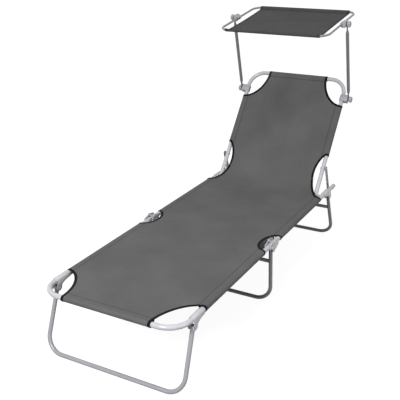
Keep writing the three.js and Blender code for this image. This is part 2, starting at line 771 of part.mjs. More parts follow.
function canopyFabric() {
  const half = canopyClothHalf;
  const waist = half - 2 * canopyClothWaist;
  const middle = (canopyBack - canopyFront) / 2;
  const outline = new THREE.Shape();
  outline.moveTo(-half, -canopyFront).lineTo(half, -canopyFront);
  outline.quadraticCurveTo(waist, middle, half, canopyBack).lineTo(-half, canopyBack);
  outline.quadraticCurveTo(-waist, middle, -half, -canopyFront);
  const inner = canopyTubeRadius + gap;
  const reach = canopyFront + canopyBend;
  const width = slab(rectangle(half, -reach, reach), -reach, reach);
  const ends = [-canopyFront, canopyBack];
  const hems = ends.map((y) => common(canopyEnd(inner + cloth, y), width));
  const whole = join(slab(outline, -inner - cloth, -inner), ...hems);
  return cut(whole, ...ends.map((y) => canopyEnd(inner, y)));
}

function canopyAndPosts() {
  const posts = body('posts', 0, clampAlong, 0, Math.PI / 2 + postLean - reclineAngle);
  for (const [sideName, side] of sides) {
    const post = postTube().translate(side * postX, 0, 0);
    posts.add(named(`post_${sideName}`, post, powderCoat));
  }
  const canopy = body('canopy', 0, postLength, 0, canopyTilt - Math.PI / 2 - postLean);
  canopy.add(named('canopy_frame', canopyFrame(), powderCoat));
  canopy.add(named('canopy_fabric', canopyFabric(), canopyCloth));
  addClamps(canopy, 'upper_clamp', canopyHalfWidth, canopyTubeRadius, 0);
  addKnobs(canopy, 'upper_knob', 0);
  posts.add(canopy);
  return posts;
}

function backrest() {
  const back = body('backrest', 0, hingeY, bedHeight, reclineAngle);
  back.add(named('back_frame', backFrame(), powderCoat));
  back.add(named('back_fabric', backFabric(), bedCloth));
  addStays(back);
  addClamps(back, 'lower_clamp', backHalfWidth, tubeRadius, clampAlong);
  addKnobs(back, 'lower_knob', clampAlong);
  back.add(canopyAndPosts());
  return back;
}

const lounger = new THREE.Group();
lounger.add(seat(), footSection(), backrest());

// The origin lies on the floor under the middle of the lounger
const extent = new THREE.Box3().setFromObject(lounger, true);
lounger.position.y = -(extent.min.y + extent.max.y) / 2;
lounger.updateMatrixWorld(true);

export default lounger;
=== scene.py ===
# %% [markdown]
# # A folding sun lounger with a canopy
# This script dresses a jointed sun lounger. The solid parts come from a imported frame, and the
# cloth, the round tubes and the small fittings are modelled here, over the solids that they
# stand in for. Lengths in the tables below are in millimetres, and the matrices turn them into
# the metres that the scene uses.

# %% Frame
import bpy
import bmesh
import json
import numpy as np
from math import acos, asin, atan2, cos, degrees, dist, hypot, pi, radians, sin, sqrt, tan
from mathutils import Matrix, Vector

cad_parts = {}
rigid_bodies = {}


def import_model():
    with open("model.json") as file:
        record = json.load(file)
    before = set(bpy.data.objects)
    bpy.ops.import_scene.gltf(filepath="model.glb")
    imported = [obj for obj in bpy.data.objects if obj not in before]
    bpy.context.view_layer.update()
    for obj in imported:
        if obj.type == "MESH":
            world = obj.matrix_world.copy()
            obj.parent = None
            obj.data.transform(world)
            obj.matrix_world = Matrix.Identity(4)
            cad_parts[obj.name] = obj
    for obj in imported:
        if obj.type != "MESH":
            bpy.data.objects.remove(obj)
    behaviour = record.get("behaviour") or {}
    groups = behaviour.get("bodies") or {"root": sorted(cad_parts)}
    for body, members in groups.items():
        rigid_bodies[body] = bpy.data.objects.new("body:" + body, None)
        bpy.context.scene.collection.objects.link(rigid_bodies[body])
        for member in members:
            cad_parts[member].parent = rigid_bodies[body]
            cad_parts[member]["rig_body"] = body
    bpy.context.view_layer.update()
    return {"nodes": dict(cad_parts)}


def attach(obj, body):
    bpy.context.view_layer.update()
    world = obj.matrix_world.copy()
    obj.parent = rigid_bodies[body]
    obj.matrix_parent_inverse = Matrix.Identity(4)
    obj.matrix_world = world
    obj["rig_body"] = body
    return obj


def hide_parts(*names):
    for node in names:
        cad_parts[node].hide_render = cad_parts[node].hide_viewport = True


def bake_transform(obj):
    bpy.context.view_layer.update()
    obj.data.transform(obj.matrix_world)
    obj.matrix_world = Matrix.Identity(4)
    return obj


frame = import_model()

# %% [markdown]
# ## Sizes
# Every size that the modelled pieces share with the frame stands in one table, so that a tube
# and the sleeve round it can't drift apart: the tubes' radii, half the width of each section,
# and the places of the pivots, along the bed from the foot bar and up from the floor. Each
# section that moves has a matrix of its own. A piece is drawn in the axes of its section, and
# the matrix puts it where it is at rest.

# %% Sizes
TUBE, LEG, CANOPY_TUBE = 9.5, 8.0, 5.0
RAIL_X, BACK_X, CANOPY_X = 280.5, 248.0, 257.0
BED_Z, KNEE_Y, HINGE_Y, TAIL_Y = 255.0, 714.0, 1286.0, 1440.0
BACK_LENGTH, CLAMP_Y, STAY_RIVET_Y, STAY_PIN_Y = 586.0, 492.0, 133.0, 122.0
POST, CANOPY_FRONT, CANOPY_BACK, CANOPY_BEND = 373.0, -204.0, 198.0, 50
KNEE_RISE, LEG_DROP, MIDDLE_DROP = 13.0, 26.0, 18.5
FOOT_LEG_Y, MIDDLE_LEG_Y, REAR_LEG_Y = 90.0, KNEE_Y - 8, HINGE_Y + 78
FLOOR_BAR_Z = 7.846
RECLINE = radians(51.5)
POST_LEAN = radians(14.3)
CANOPY_TILT = radians(8)
LEG_FALL = BED_Z - LEG_DROP - FLOOR_BAR_Z
MIDDLE_FALL = BED_Z - MIDDLE_DROP - FLOOR_BAR_Z
FOOT_LEG_TURN = -atan2(83.0, LEG_FALL)
REAR_LEG_TURN = atan2(78.0, LEG_FALL)
SIDES = ((-1, "left"), (1, "right"))
ACROSS, ALONG, UP = Vector((1, 0, 0)), Vector((0, 1, 0)), Vector((0, 0, 1))
MM = 0.001

def place(x, y, z, turn=0.0):
    """A frame at this point, turned about the line across the lounger."""
    return Matrix.Translation((x, y, z)) @ Matrix.Rotation(turn, 4, "X")

ROW = Matrix.Scale(MM, 4) @ place(0, -845.828, 0)
FOOT = ROW @ place(0, KNEE_Y, BED_Z + KNEE_RISE)
FOOT_LEG_PIN = (0, FOOT_LEG_Y - KNEE_Y, -KNEE_RISE - LEG_DROP)
REAR_LEG_PIN = (0, REAR_LEG_Y, BED_Z - LEG_DROP)
FOOT_LEG = FOOT @ place(*FOOT_LEG_PIN, FOOT_LEG_TURN)
MIDDLE_LEG = ROW @ place(0, MIDDLE_LEG_Y, BED_Z - MIDDLE_DROP)
REAR_LEG = ROW @ place(*REAR_LEG_PIN, REAR_LEG_TURN)
BACK = ROW @ place(0, HINGE_Y, BED_Z, RECLINE)
POSTS = BACK @ place(0, CLAMP_Y, 0, pi / 2 + POST_LEAN - RECLINE)
CANOPY = POSTS @ place(0, POST, 0, CANOPY_TILT - pi / 2 - POST_LEAN)
print("legs turned", [round(degrees(a), 1) for a in (FOOT_LEG_TURN, REAR_LEG_TURN)])

# %% [markdown]
# ## Camera
# The camera stands about one and a half metres up, to the right of the foot end, and looks down
# along the bed. Its place and lens were fitted to the outline of the frame.

# %% Camera
camera_data = bpy.data.cameras.new("camera")
camera = bpy.data.objects.new("camera", camera_data)
bpy.context.collection.objects.link(camera)
bpy.context.scene.camera = camera
camera_data.sensor_width = 36
camera_data.lens = 63.491
camera_data.shift_x = -0.001873
camera_data.shift_y = -0.000235
yaw, pitch, roll = (radians(a) for a in (29.467, -22.042, -0.871))
turn = Matrix.Rotation(yaw, 4, "Z") @ Matrix.Rotation(pi / 2 + pitch, 4, "X")
stand = Matrix.Translation((1.27216, -2.447838, 1.462121))
camera.matrix_world = stand @ turn @ Matrix.Rotation(roll, 4, "Z")

# %% [markdown]
# ## Materials
# Each finish is a small network of procedural noise: a base colour that varies a little, a
# roughness that varies with it, and a bump. Painted images could do the same, but they would
# need an unwrapping for every piece.

# %% Material helpers
def new_material(name, **values):
    """A material with its Principled shader's own sockets set."""
    material = bpy.data.materials.new(name)
    material.use_nodes = True
    shader = material.node_tree.nodes["Principled BSDF"]
    for socket, value in values.items():
        shader.inputs[socket.replace("_", " ")].default_value = value
    return material, material.node_tree, shader

def link(output, socket):
    """Joins an output to an input of the same tree."""
    output.id_data.links.new(output, socket)

def add(tree, kind, **settings):
    """A node, with its properties or its inputs set by name."""
    node = tree.nodes.new(kind)
    for key, value in settings.items():
        if hasattr(node, key):
            setattr(node, key, value)
        else:
            node.inputs[key.replace("_", " ")].default_value = value
    return node

def math_node(tree, operation, a, b=None, c=None, clamp=False):
    """One sum, whose terms are numbers or other nodes' outputs."""
    node = add(tree, "ShaderNodeMath", operation=operation, use_clamp=clamp)
    for socket, value in zip(node.inputs, (a, b, c)):
        if isinstance(value, (int, float)):
            socket.default_value = value
        elif value is not None:
            link(value, socket)
    return node.outputs[0]

def mix_colour(tree, factor, a, b):
    """A colour between two colours."""
    node = add(tree, "ShaderNodeMix", data_type="RGBA")
    link(factor, node.inputs[0])
    for socket, value in ((node.inputs[6], a), (node.inputs[7], b)):
        if isinstance(value, tuple):
            socket.default_value = value
        else:
            link(value, socket)
    return node.outputs[2]

def noise(tree, coordinate, scale, detail):
    """Cloudy noise, from 0 to 1."""
    node = add(tree, "ShaderNodeTexNoise", Scale=scale, Detail=detail)
    link(coordinate, node.inputs["Vector"])
    return node.outputs["Fac"]

def roughen(tree, shader, value, middle, spread):
    """Lets a value from 0 to 1 vary the roughness round its middle."""
    rough = math_node(tree, "MULTIPLY_ADD", value, 2 * spread, middle - spread)
    link(rough, shader.inputs["Roughness"])

def bump(tree, height, onto, strength, distance):
    """Makes a height turn the surface of a shader, or of another bump."""
    node = add(tree, "ShaderNodeBump", Strength=strength, Distance=distance)
    link(height, node.inputs["Height"])
    link(node.outputs[0], onto.inputs["Normal"])
    return node

def grey(level, blue=0.0):
    """A grey, with a little more blue in it where that is given."""
    return level, level, level + blue, 1.0

# %% [markdown]
# ## Coat, zinc and plastic
# The tubes are powder coated in grey, and the legs, posts and canopy are darker than the bed.
# The middle and rear legs and their crossbars get a darker coat still, which is painted shade
# for the shadow under the bed.
# Rivets and stays are zinc plated, and clamps, knobs and caps are moulded plastic. The stays'
# zinc is darker than the rivets', as painted shade. One function serves for them all, since
# they differ only in tone, gloss and grain. Object coordinates keep the noise in place.

# %% Coat, zinc and plastic
CLOUD_SCALE, ROUGH_SPREAD, GRAIN_HEIGHT = 14.0, 0.06, 0.0002
EDGE_GAIN, EDGE_START, EDGE_TONE = 9.0, -4.7, grey(0.72, 0.02)

def hard_finish(
    name, dark, light, wear=0.25, metallic=0.0, rough=0.22, grain=0.2, grain_scale=900.0, gloss=0.4
):
    """A hard surface: clouded colour, fine grain, and edges worn a little lighter."""
    material, tree, shader = new_material(name, Metallic=metallic, Specular_IOR_Level=gloss)
    where = add(tree, "ShaderNodeTexCoord").outputs["Object"]
    cloud = noise(tree, where, CLOUD_SCALE, 3.0)
    colour = mix_colour(tree, cloud, dark, light)
    edge = add(tree, "ShaderNodeNewGeometry").outputs["Pointiness"]
    edge = math_node(tree, "MULTIPLY_ADD", edge, EDGE_GAIN, EDGE_START, True)
    edge = math_node(tree, "MULTIPLY", edge, wear)
    link(mix_colour(tree, edge, colour, EDGE_TONE), shader.inputs["Base Color"])
    roughen(tree, shader, cloud, rough, ROUGH_SPREAD)
    bump(tree, noise(tree, where, grain_scale, 2.0), shader, grain, GRAIN_HEIGHT)
    return material

coat = hard_finish("powder_coat", grey(0.49, 0.035), grey(0.56, 0.035))
leg_coat = hard_finish("leg_coat", grey(0.30, 0.024), grey(0.36, 0.024))
canopy_coat = hard_finish("canopy_coat", grey(0.25, 0.02), grey(0.31, 0.02))
# Painted shade: a darker copy of the leg coat, for the legs and crossbars under the bed.
under_bed_shaded_coat = hard_finish("painted_shade_leg_coat", grey(0.225, 0.02), grey(0.28, 0.02), 0.2)
post_coat = hard_finish("post_coat", grey(0.155, 0.017), grey(0.195, 0.018), 0.2)
zinc = hard_finish("zinc", grey(0.34, 0.015), grey(0.44, 0.015), 0.3, 0.3, 0.34, 0.3, 600.0, 0.5)
# Painted shade: the stays' zinc is darker than the rivets' to stand for their shade.
shaded_stay_zinc = hard_finish(
    "shaded_stay_zinc", (0.09, 0.091, 0.096, 1.0), grey(0.17, 0.01), 0.4, 0.3, 0.38, 0.3, 600.0, 0.5
)
plastic = hard_finish(
    "moulded_plastic", grey(0.34, 0.03), grey(0.41, 0.03), 0.2, 0.0, 0.45, 0.4, 1400.0, 0.5
)
print("hard finishes", len(bpy.data.materials))

# %% [markdown]
# ## Woven cloth
# The bed and the canopy are of plain-woven synthetic cloth. Its threads could be modelled as
# strands, but at this size a product of two sine waves looks the same. The waves, the seams and
# the slubs are drawn from the flat pattern of the cloth, which each mesh carries as a UV in
# metres, so they run straight through every bend.

# %% Woven cloth
THREAD, STITCH, SEAM_WIDTH, SEAM_TONE = 0.0016, 0.0045, 0.003, grey(0.02, 0.001)

def cloth_finish(name, dark, light, rough, gloss, seams=()):
    """Plain weave with slubs and soft folds, and seams given by axis, place, start and end."""
    material, tree, shader = new_material(name, Specular_IOR_Level=gloss, Sheen_Weight=gloss * 0.3)

    def calc(*terms):
        return math_node(tree, *terms)

    def wave(value, pitch):
        return calc("SINE", calc("MULTIPLY", value, 2 * pi / pitch))

    flat = add(tree, "ShaderNodeUVMap", uv_map="flat").outputs[0]
    parts = add(tree, "ShaderNodeSeparateXYZ")
    link(flat, parts.inputs[0])
    across, along = parts.outputs[0], parts.outputs[1]
    weave = calc("MULTIPLY", wave(across, THREAD), wave(along, THREAD))
    weave = calc("MULTIPLY_ADD", weave, 0.5, 0.5)
    slub = noise(tree, flat, 55.0, 4.0)
    soft = noise(tree, flat, 5.0, 2.0)
    tone = calc("MULTIPLY_ADD", weave, 0.25, calc("MULTIPLY", slub, 0.35))
    tone = calc("MULTIPLY_ADD", soft, 1.5, calc("ADD", tone, -0.55), True)
    colour = mix_colour(tree, tone, dark, light)
    height = weave
    axes = {"across": (calc("ABSOLUTE", across), along), "along": (along, across)}
    for axis, line, start, end in seams:
        over, beside = axes[axis]
        gap_from = calc("ABSOLUTE", calc("SUBTRACT", over, line))
        near = calc("MULTIPLY_ADD", gap_from, -1 / SEAM_WIDTH, 1.0, True)
        inside = calc("MULTIPLY", calc("GREATER_THAN", beside, start), calc("LESS_THAN", beside, end))
        near = calc("MULTIPLY", near, inside)
        dash = calc("MULTIPLY_ADD", wave(beside, STITCH), 0.35, 0.65, True)
        colour = mix_colour(tree, calc("MULTIPLY", near, 0.7), colour, SEAM_TONE)
        height = calc("MULTIPLY_ADD", calc("MULTIPLY", near, dash), -1.5, height)
    link(colour, shader.inputs["Base Color"])
    roughen(tree, shader, slub, rough, 0.05)
    fine = bump(tree, height, shader, 0.35, 0.0004)
    bump(tree, noise(tree, flat, 9.0, 2.0), fine, 0.6, 0.012)
    return material

BED_SEAMS = [
    ("across", 0.2615, 0.150, 1.240), ("across", 0.229, 1.455, 1.730),
    ("along", 0.019, -0.182, 0.182), ("along", 1.832, -0.155, 0.155),
]
bed_cloth = cloth_finish("bed_cloth", grey(0.081), grey(0.126), 0.8, 0.25, BED_SEAMS)
canopy_cloth = cloth_finish("canopy_cloth", grey(0.046, 0.001), grey(0.072, 0.001), 0.8, 0.15)
tape_cloth = cloth_finish("binding_tape", grey(0.004, 0.001), grey(0.009, 0.001), 0.7, 0.06)
hem_cloth = cloth_finish("canopy_hem", grey(0.030, 0.001), grey(0.048, 0.001), 0.75, 0.1)
print("bed seams", len(BED_SEAMS))

# %% [markdown]
# ## Building pieces
# A tube is a circle that is extruded ring by ring along a path of straight runs and bends. A
# curve with a round bevel would be shorter to write, but here the same function serves for
# domed and flattened ends too, because each ring has its own width and height.

# %% Piece helpers
def finished(name, bm, matrix, material, smooth_angle=40.0):
    """Turns a bmesh into an object at the origin, with its place in its mesh."""
    bmesh.ops.transform(bm, matrix=matrix, verts=bm.verts)
    bmesh.ops.recalc_face_normals(bm, faces=bm.faces)
    mesh = bpy.data.meshes.new(name)
    bm.to_mesh(mesh)
    bm.free()
    mesh.materials.append(material)
    mesh.shade_smooth()
    mesh.set_sharp_from_angle(angle=radians(smooth_angle))
    piece = bpy.data.objects.new(name, mesh)
    bpy.context.collection.objects.link(piece)
    return piece

def stand_in(bm, node, matrix, material, kind="fine"):
    """A finer piece that takes a frame node's place and moves with its body."""
    piece = finished(f"{node}_{kind}", bm, matrix, material)
    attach(piece, frame["nodes"][node]["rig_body"])
    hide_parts(node)

def merged(whole, *parts):
    """Several closed skins as one piece."""
    for part in parts:
        mesh = bpy.data.meshes.new("part")
        part.to_mesh(mesh)
        part.free()
        whole.from_mesh(mesh)
        bpy.data.meshes.remove(mesh)
    return whole

def bent_path(corners, bend, steps=18):
    """Points and directions along straight runs joined by round bends."""
    corners = [Vector(c) for c in corners]
    stations = [(corners[0], (corners[1] - corners[0]).normalized())]
    for before, here, after in zip(corners, corners[1:], corners[2:]):
        into, out = (here - before).normalized(), (after - here).normalized()
        turn_by = into.angle(out)
        inward = (out - into * cos(turn_by)).normalized()
        begin = here - into * bend * tan(turn_by / 2)
        for step in range(steps + 1):
            a = turn_by * step / steps
            point = begin + into * bend * sin(a) + inward * bend * (1 - cos(a))
            stations.append((point, into * cos(a) + inward * sin(a)))
    stations.append((corners[-1], (corners[-1] - corners[-2]).normalized()))
    return stations

def sweep(stations, across, sides=40, lobes=0, scallop=0.0):
    """A closed skin through rings, each given as centre, direction, half width, half height."""
    bm = bmesh.new()
    last = None
    for centre, direction, half_a, half_b in stations:
        other = direction.cross(across).normalized()
        here = Matrix((across * half_a, other * half_b, direction)).transposed().to_4x4()
        here.translation = centre
        if last is None:
            ring = bmesh.ops.create_circle(bm, segments=sides, radius=1.0)["verts"]
            for vert in ring:
                angle = atan2(vert.co.y, vert.co.x)
                vert.co *= 1 - scallop * (1 - cos(lobes * angle)) / 2
            bmesh.ops.transform(bm, matrix=here, verts=ring)
            edges = list(bm.edges)
        else:
            made = bmesh.ops.extrude_edge_only(bm, edges=edges)["geom"]
            ring = [g for g in made if isinstance(g, bmesh.types.BMVert)]
            edges = [g for g in made if isinstance(g, bmesh.types.BMEdge)]
            bmesh.ops.transform(bm, matrix=here @ last.inverted(), verts=ring)
        last = here
    bmesh.ops.holes_fill(bm, edges=[e for e in bm.edges if e.is_boundary])
    return bm

def domed(stations, radius, dome, steps=6):
    """Rings of one radius along a path, closed by domes of the given depth, if any."""
    rings = [(p, d, radius, radius) for p, d in stations]
    (start, first), (end, last) = stations[0], stations[-1]
    for step in range(steps if dome else 0):
        a = pi / 2 * (step + 1) / (steps + 0.3)
        r = radius * cos(a)
        rings.insert(0, (start - first * dome * sin(a), first, r, r))
        rings.append((end + last * dome * sin(a), last, r, r))
    return rings

# %% [markdown]
# ## Tubes
# The bed frame, the legs, the back and the canopy are bent from round steel tube. The frame's
# own tubes have few sides, because they also serve for the simulation, so finer ones stand in
# for them here. Smooth shading alone would leave their outlines angular.

# %% Tubes
FRAME_BEND, BACK_BEND, LEG_BEND, LEG_SPREAD, CROSSBAR = 80, 75, 65, 4.5, 7.6

def tube(name, corners, radius, bend, matrix, across, dome=0.0, material=coat):
    """A bent tube that stands for the frame's node of the same name."""
    bm = sweep(domed(bent_path(corners, bend), radius, dome), across)
    stand_in(bm, name, matrix, material, "round")

def u_shape(end, corner):
    """The corners of a U that is the same on both sides."""
    return [end, corner] + [(-x, y, z) for x, y, z in (corner, end)]

foot_corners = u_shape((RAIL_X, 0, -KNEE_RISE), (RAIL_X, -KNEE_Y, -KNEE_RISE))
tube("foot_frame", foot_corners, TUBE, FRAME_BEND, FOOT, UP)
for side, name in SIDES:
    x = side * RAIL_X
    tube(f"seat_rail_{name}", [(x, KNEE_Y, BED_Z), (x, TAIL_Y, BED_Z)], TUBE, 0, ROW, UP)
tube("back_frame", u_shape((BACK_X, 0, 0), (BACK_X, BACK_LENGTH, 0)), TUBE, BACK_BEND, BACK, UP, 9.3)

def leg(name, matrix, angle, fall, material):
    """A U-shaped leg, a little wider at the floor than at its pivots."""
    corners = u_shape((RAIL_X, 0, 0), (RAIL_X + LEG_SPREAD, 0, -fall / cos(angle)))
    tube(f"{name}_tube", corners, LEG, LEG_BEND, matrix, ALONG, 7.8, material)

def crossbar(name, matrix, angle, fall, drop):
    """A brace between a leg's uprights, whose ends sink 1 mm into their sides."""
    length = fall / cos(angle)
    end = RAIL_X + LEG_SPREAD * (drop + LEG) / (length + LEG) - LEG + 1.0
    ends = [(end, 0, -drop), (-end, 0, -drop)]
    tube(f"{name}_crossbar", ends, CROSSBAR, 0, matrix, ALONG, material=under_bed_shaded_coat)

leg("foot_leg", FOOT_LEG, FOOT_LEG_TURN, LEG_FALL, leg_coat)
# The middle and rear legs and both crossbars take the darker coat, painted shade from the bed.
leg("middle_leg", MIDDLE_LEG, 0.0, MIDDLE_FALL, under_bed_shaded_coat)
leg("rear_leg", REAR_LEG, REAR_LEG_TURN, LEG_FALL, under_bed_shaded_coat)
crossbar("middle_leg", MIDDLE_LEG, 0.0, MIDDLE_FALL, 52)
crossbar("rear_leg", REAR_LEG, REAR_LEG_TURN, LEG_FALL, 68)
canopy_corners = [
    (0, CANOPY_BACK, 0), (-CANOPY_X, CANOPY_BACK, 0), (-CANOPY_X, CANOPY_FRONT, 0),
    (CANOPY_X, CANOPY_FRONT, 0), (CANOPY_X, CANOPY_BACK, 0), (0, CANOPY_BACK, 0),
]
tube("canopy_frame", canopy_corners, CANOPY_TUBE, CANOPY_BEND, CANOPY, UP, material=canopy_coat)

# %% [markdown]
# ## Turned pieces
# Rivets, bolts, end caps and bushes are turned shapes: a few rings along one line. A profile of
# places and radii is all that they need, and it gives a rivet its domed head. On the left each
# one is turned half round, so that its head still faces outwards.

# %% Turned pieces
RIVET_HEAD = [(0.3, 3.0), (0.3, 5.5), (0.8, 5.5), (1.3, 4.9), (1.8, 3.8), (2.15, 2.2), (2.3, 0.4)]
CAP = [(0.3, 9.5), (1.6, 9.5), (2.6, 9.0), (3.5, 7.6), (4.1, 5.2), (4.3, 2.0)]
BUSH_BORE, BUSH = 3.3, 6.0
GAP, PLATE, EAR, STAY_HALF = 0.3, 2.0, 1.5, 1.25
FOOT_PLATE_FACE = TUBE + GAP
SEAT_PLATE_FACE = FOOT_PLATE_FACE + PLATE + GAP
STAY_X = BACK_X + TUBE + 5 + STAY_HALF
LEG_REACH, KNEE_REACH = TUBE + GAP + EAR, SEAT_PLATE_FACE + PLATE

def turned(profile, sides=32, **shape):
    """Rings along the line across the lounger, given as place and radius."""
    return sweep([(Vector((x, 0, 0)), ACROSS, r, r) for x, r in profile], UP, sides, **shape)

def mirror_x(matrix, side):
    """The same frame for the right, and turned half round for the left."""
    return matrix if side > 0 else matrix @ Matrix.Rotation(pi, 4, "Z")

def rivet(node, matrix, low, high, both=True):
    """A rivet with a domed head at its outer end, and at its inner end too where that shows."""
    outer = [(high + x, r) for x, r in RIVET_HEAD]
    inner = [(low - x, r) for x, r in reversed(RIVET_HEAD)] if both else [(low, 2.4), (low, 3.0)]
    stand_in(turned(inner + outer), node, matrix, zinc)

for side, name in SIDES:
    for node, carrier, reach in (
        ("foot_leg_pin", FOOT @ place(*FOOT_LEG_PIN), LEG_REACH),
        ("rear_leg_pin", ROW @ place(*REAR_LEG_PIN), LEG_REACH),
        ("middle_leg_pin", MIDDLE_LEG, KNEE_REACH),
        ("knee_pin", FOOT, KNEE_REACH),
    ):
        at = mirror_x(carrier @ place(side * RAIL_X, 0, 0), side)
        rivet(f"{node}_{name}", at, -reach, reach)
    at = mirror_x(ROW @ place(0, HINGE_Y, BED_Z), side)
    rivet(f"back_hinge_bolt_{name}", at, BACK_X - TUBE, RAIL_X + TUBE)
    low, high = BACK_X + TUBE + GAP, RAIL_X - TUBE - GAP
    bush = turned([(low, BUSH_BORE), (low, BUSH), (high, BUSH), (high, BUSH_BORE)])
    stand_in(bush, f"back_hinge_spacer_{name}", at, plastic)
    at = mirror_x(ROW @ place(0, HINGE_Y + STAY_PIN_Y, BED_Z), side)
    rivet(f"stay_pin_{name}", at, STAY_X + STAY_HALF + GAP, RAIL_X + TUBE, False)
    at = mirror_x(BACK @ place(0, STAY_RIVET_Y, 0), side)
    rivet(f"stay_rivet_{name}", at, BACK_X - TUBE, STAY_X + STAY_HALF)
    cap = sweep([(Vector((0, y, 0)), ALONG, r, r) for y, r in CAP], UP)
    stand_in(cap, f"rail_cap_{name}", ROW @ place(side * RAIL_X, TAIL_Y, BED_Z), plastic)

# %% [markdown]
# ## Posts and knobs
# Each canopy post is a round tube pressed flat at both ends, so its rings change from flat to
# round and back. The knobs are turned shapes whose rim is drawn in between six lobes, and a screw
# runs from each one into its clamp.

# %% Posts and knobs
FLAT_HALF, FLAT_THICK, POST_RADIUS = 8.5, 2.5, 7.5
CLAMP_FACE = BACK_X + 28.5
POST_X = CLAMP_FACE + GAP + FLAT_THICK
KNOB_RADIUS, KNOB_SCALLOP = 14, 0.093
TIP = [(-8.4, 1.2), (-8.0, 2.9), (-6.9, 5.0), (-5.0, 6.9), (-2.6, 8.1), (0.0, FLAT_HALF)]
low_end = [(z, FLAT_THICK - (0.5 if b < 5 else 0), b) for z, b in TIP]
low_end += [(26, FLAT_THICK, FLAT_HALF), (30, 3.2, 8.4), (36, 5.6, 7.9), (42, POST_RADIUS, POST_RADIUS)]
rings = low_end + [(POST - z, a, b) for z, a, b in reversed(low_end)]
for side, name in SIDES:
    bm = sweep([(Vector((0, z, 0)), ALONG, b, a) for z, a, b in rings], UP, 36)
    stand_in(bm, f"post_{name}", POSTS @ place(side * POST_X, 0, 0), post_coat)

KNOB = [
    (0.3, 0.80), (0.6, 0.90), (1.3, 0.97), (2.4, 1.0), (10.6, 1.0), (12.0, 0.96), (12.9, 0.88),
    (13.3, 0.76), (13.3, 0.52), (12.5, 0.48),
]
SCREW = [(-17.3, 2.4), (-16.9, 3.0), (12.0, 3.0), (12.0, 4.6), (12.9, 4.6), (13.2, 4.0), (13.2, 0.3)]
knob = [(x, KNOB_RADIUS * r) for x, r in KNOB]
for level, carrier in (("lower", BACK @ place(0, CLAMP_Y, 0)), ("upper", CANOPY)):
    for side, name in SIDES:
        at = mirror_x(carrier, side) @ place(POST_X + FLAT_THICK, 0, 0)
        bm = merged(turned(knob, 72, lobes=6, scallop=KNOB_SCALLOP), turned(SCREW))
        stand_in(bm, f"{level}_knob_body_{name}", at, plastic)
print("rings in a post", len(rings))

# %% [markdown]
# ## Plates
# The hinge plates, stays, clamps and brackets are cut from sheet or moulded as blocks. Each is
# an outline, filled, given thickness and softened along its edges. Booleans could cut the slots
# afterwards, but an outline that already has them gives cleaner faces.

# %% Plate helpers
def belt(circles, count=72):
    """The outline that a belt takes round circles given as x, y and radius."""
    angles = np.linspace(0, 2 * pi, count, endpoint=False)
    points = sorted(
        (round(x + r * cos(a), 5), round(y + r * sin(a), 5))
        for x, y, r in circles
        for a in angles
    )

    def chain(run):
        hull = []
        for p in run:
            while len(hull) > 1:
                (ax, ay), (bx, by) = hull[-2:]
                if (bx - ax) * (p[1] - ay) > (by - ay) * (p[0] - ax):
                    break
                hull.pop()
            hull.append(p)
        return hull[:-1]

    return chain(points) + chain(points[::-1])

def arc(x, y, radius, start, end, count=14):
    """Points along part of a circle, with its angles in degrees."""
    turns = [radians(a) for a in np.linspace(start, end, count)]
    return [(x + radius * cos(a), y + radius * sin(a)) for a in turns]

def curve(start, pull, end, count):
    """Points along a bow from one point to another, drawn towards a third."""
    return [
        tuple((1 - t) ** 2 * s + 2 * t * (1 - t) * p + t**2 * e for s, p, e in zip(start, pull, end))
        for t in np.linspace(0, 1, count)
    ]

FACING_ACROSS = Matrix(((0, 0, 1, 0), (1, 0, 0, 0), (0, 1, 0, 0), (0, 0, 0, 1)))
FACING_ALONG = Matrix(((1, 0, 0, 0), (0, 0, -1, 0), (0, 1, 0, 0), (0, 0, 0, 1)))

def plate(outline, low, high, facing=FACING_ACROSS, soften=0.35):
    """A plate from an outline, between two places along the line that it faces."""
    bm = bmesh.new()
    rim = bmesh.ops.create_circle(bm, segments=len(outline), radius=1.0, cap_ends=True)["verts"]
    for vert, (x, y) in zip(rim, outline):
        vert.co = (x, y, low)
    made = bmesh.ops.extrude_face_region(bm, geom=list(bm.faces))["geom"]
    top = [g for g in made if isinstance(g, bmesh.types.BMVert)]
    bmesh.ops.translate(bm, verts=top, vec=(0, 0, high - low))
    bmesh.ops.recalc_face_normals(bm, faces=bm.faces)
    edges = [e for e in bm.edges if abs(e.verts[0].co.z - e.verts[1].co.z) < 1e-6]
    bmesh.ops.bevel(bm, geom=edges, offset=soften, segments=2, affect="EDGES", profile=0.5,
                    material=-1, clamp_overlap=True)
    bmesh.ops.transform(bm, matrix=facing, verts=bm.verts)
    return bm

# %% Knee plates
SEAT_PLATE = belt([(0, 0, 7.5), (33, -7, 7), (28, -15, 10), (-8, -31.5, 9)])
FOOT_PLATE = belt([(0, 0, 7.5), (-33, -8, 7), (-31, -15, 8)])
for kind, outline, face in (
    ("seat", SEAT_PLATE, SEAT_PLATE_FACE), ("foot", FOOT_PLATE, FOOT_PLATE_FACE)
):
    for side, name in SIDES:
        for layer, near in (("outer", RAIL_X + face), ("inner", RAIL_X - face - PLATE)):
            bm = plate(outline, *sorted((side * near, side * (near + PLATE))))
            stand_in(bm, f"knee_{kind}_plate_{layer}_{name}", FOOT, coat)
print("corners of a knee plate", len(SEAT_PLATE), len(FOOT_PLATE))

# %% [markdown]
# ## Stays
# Each stay is a flat bar with six slanted notches in its lower edge, one for each position of
# the back. The notch that holds the back at rest sits over the pin on the rail.

# %% Stays
STAY_ANGLES, BAR_HALF, NOTCH = (74, 62, 51.5, 40, 28, 16), 12.0, 3.3

def stay_line(angle):
    """How far the stay's rivet lies from the rail's pin, and the slope between them."""
    rise = STAY_RIVET_Y * sin(angle)
    run = STAY_PIN_Y - STAY_RIVET_Y * cos(angle)
    return hypot(run, rise), atan2(-rise, run)

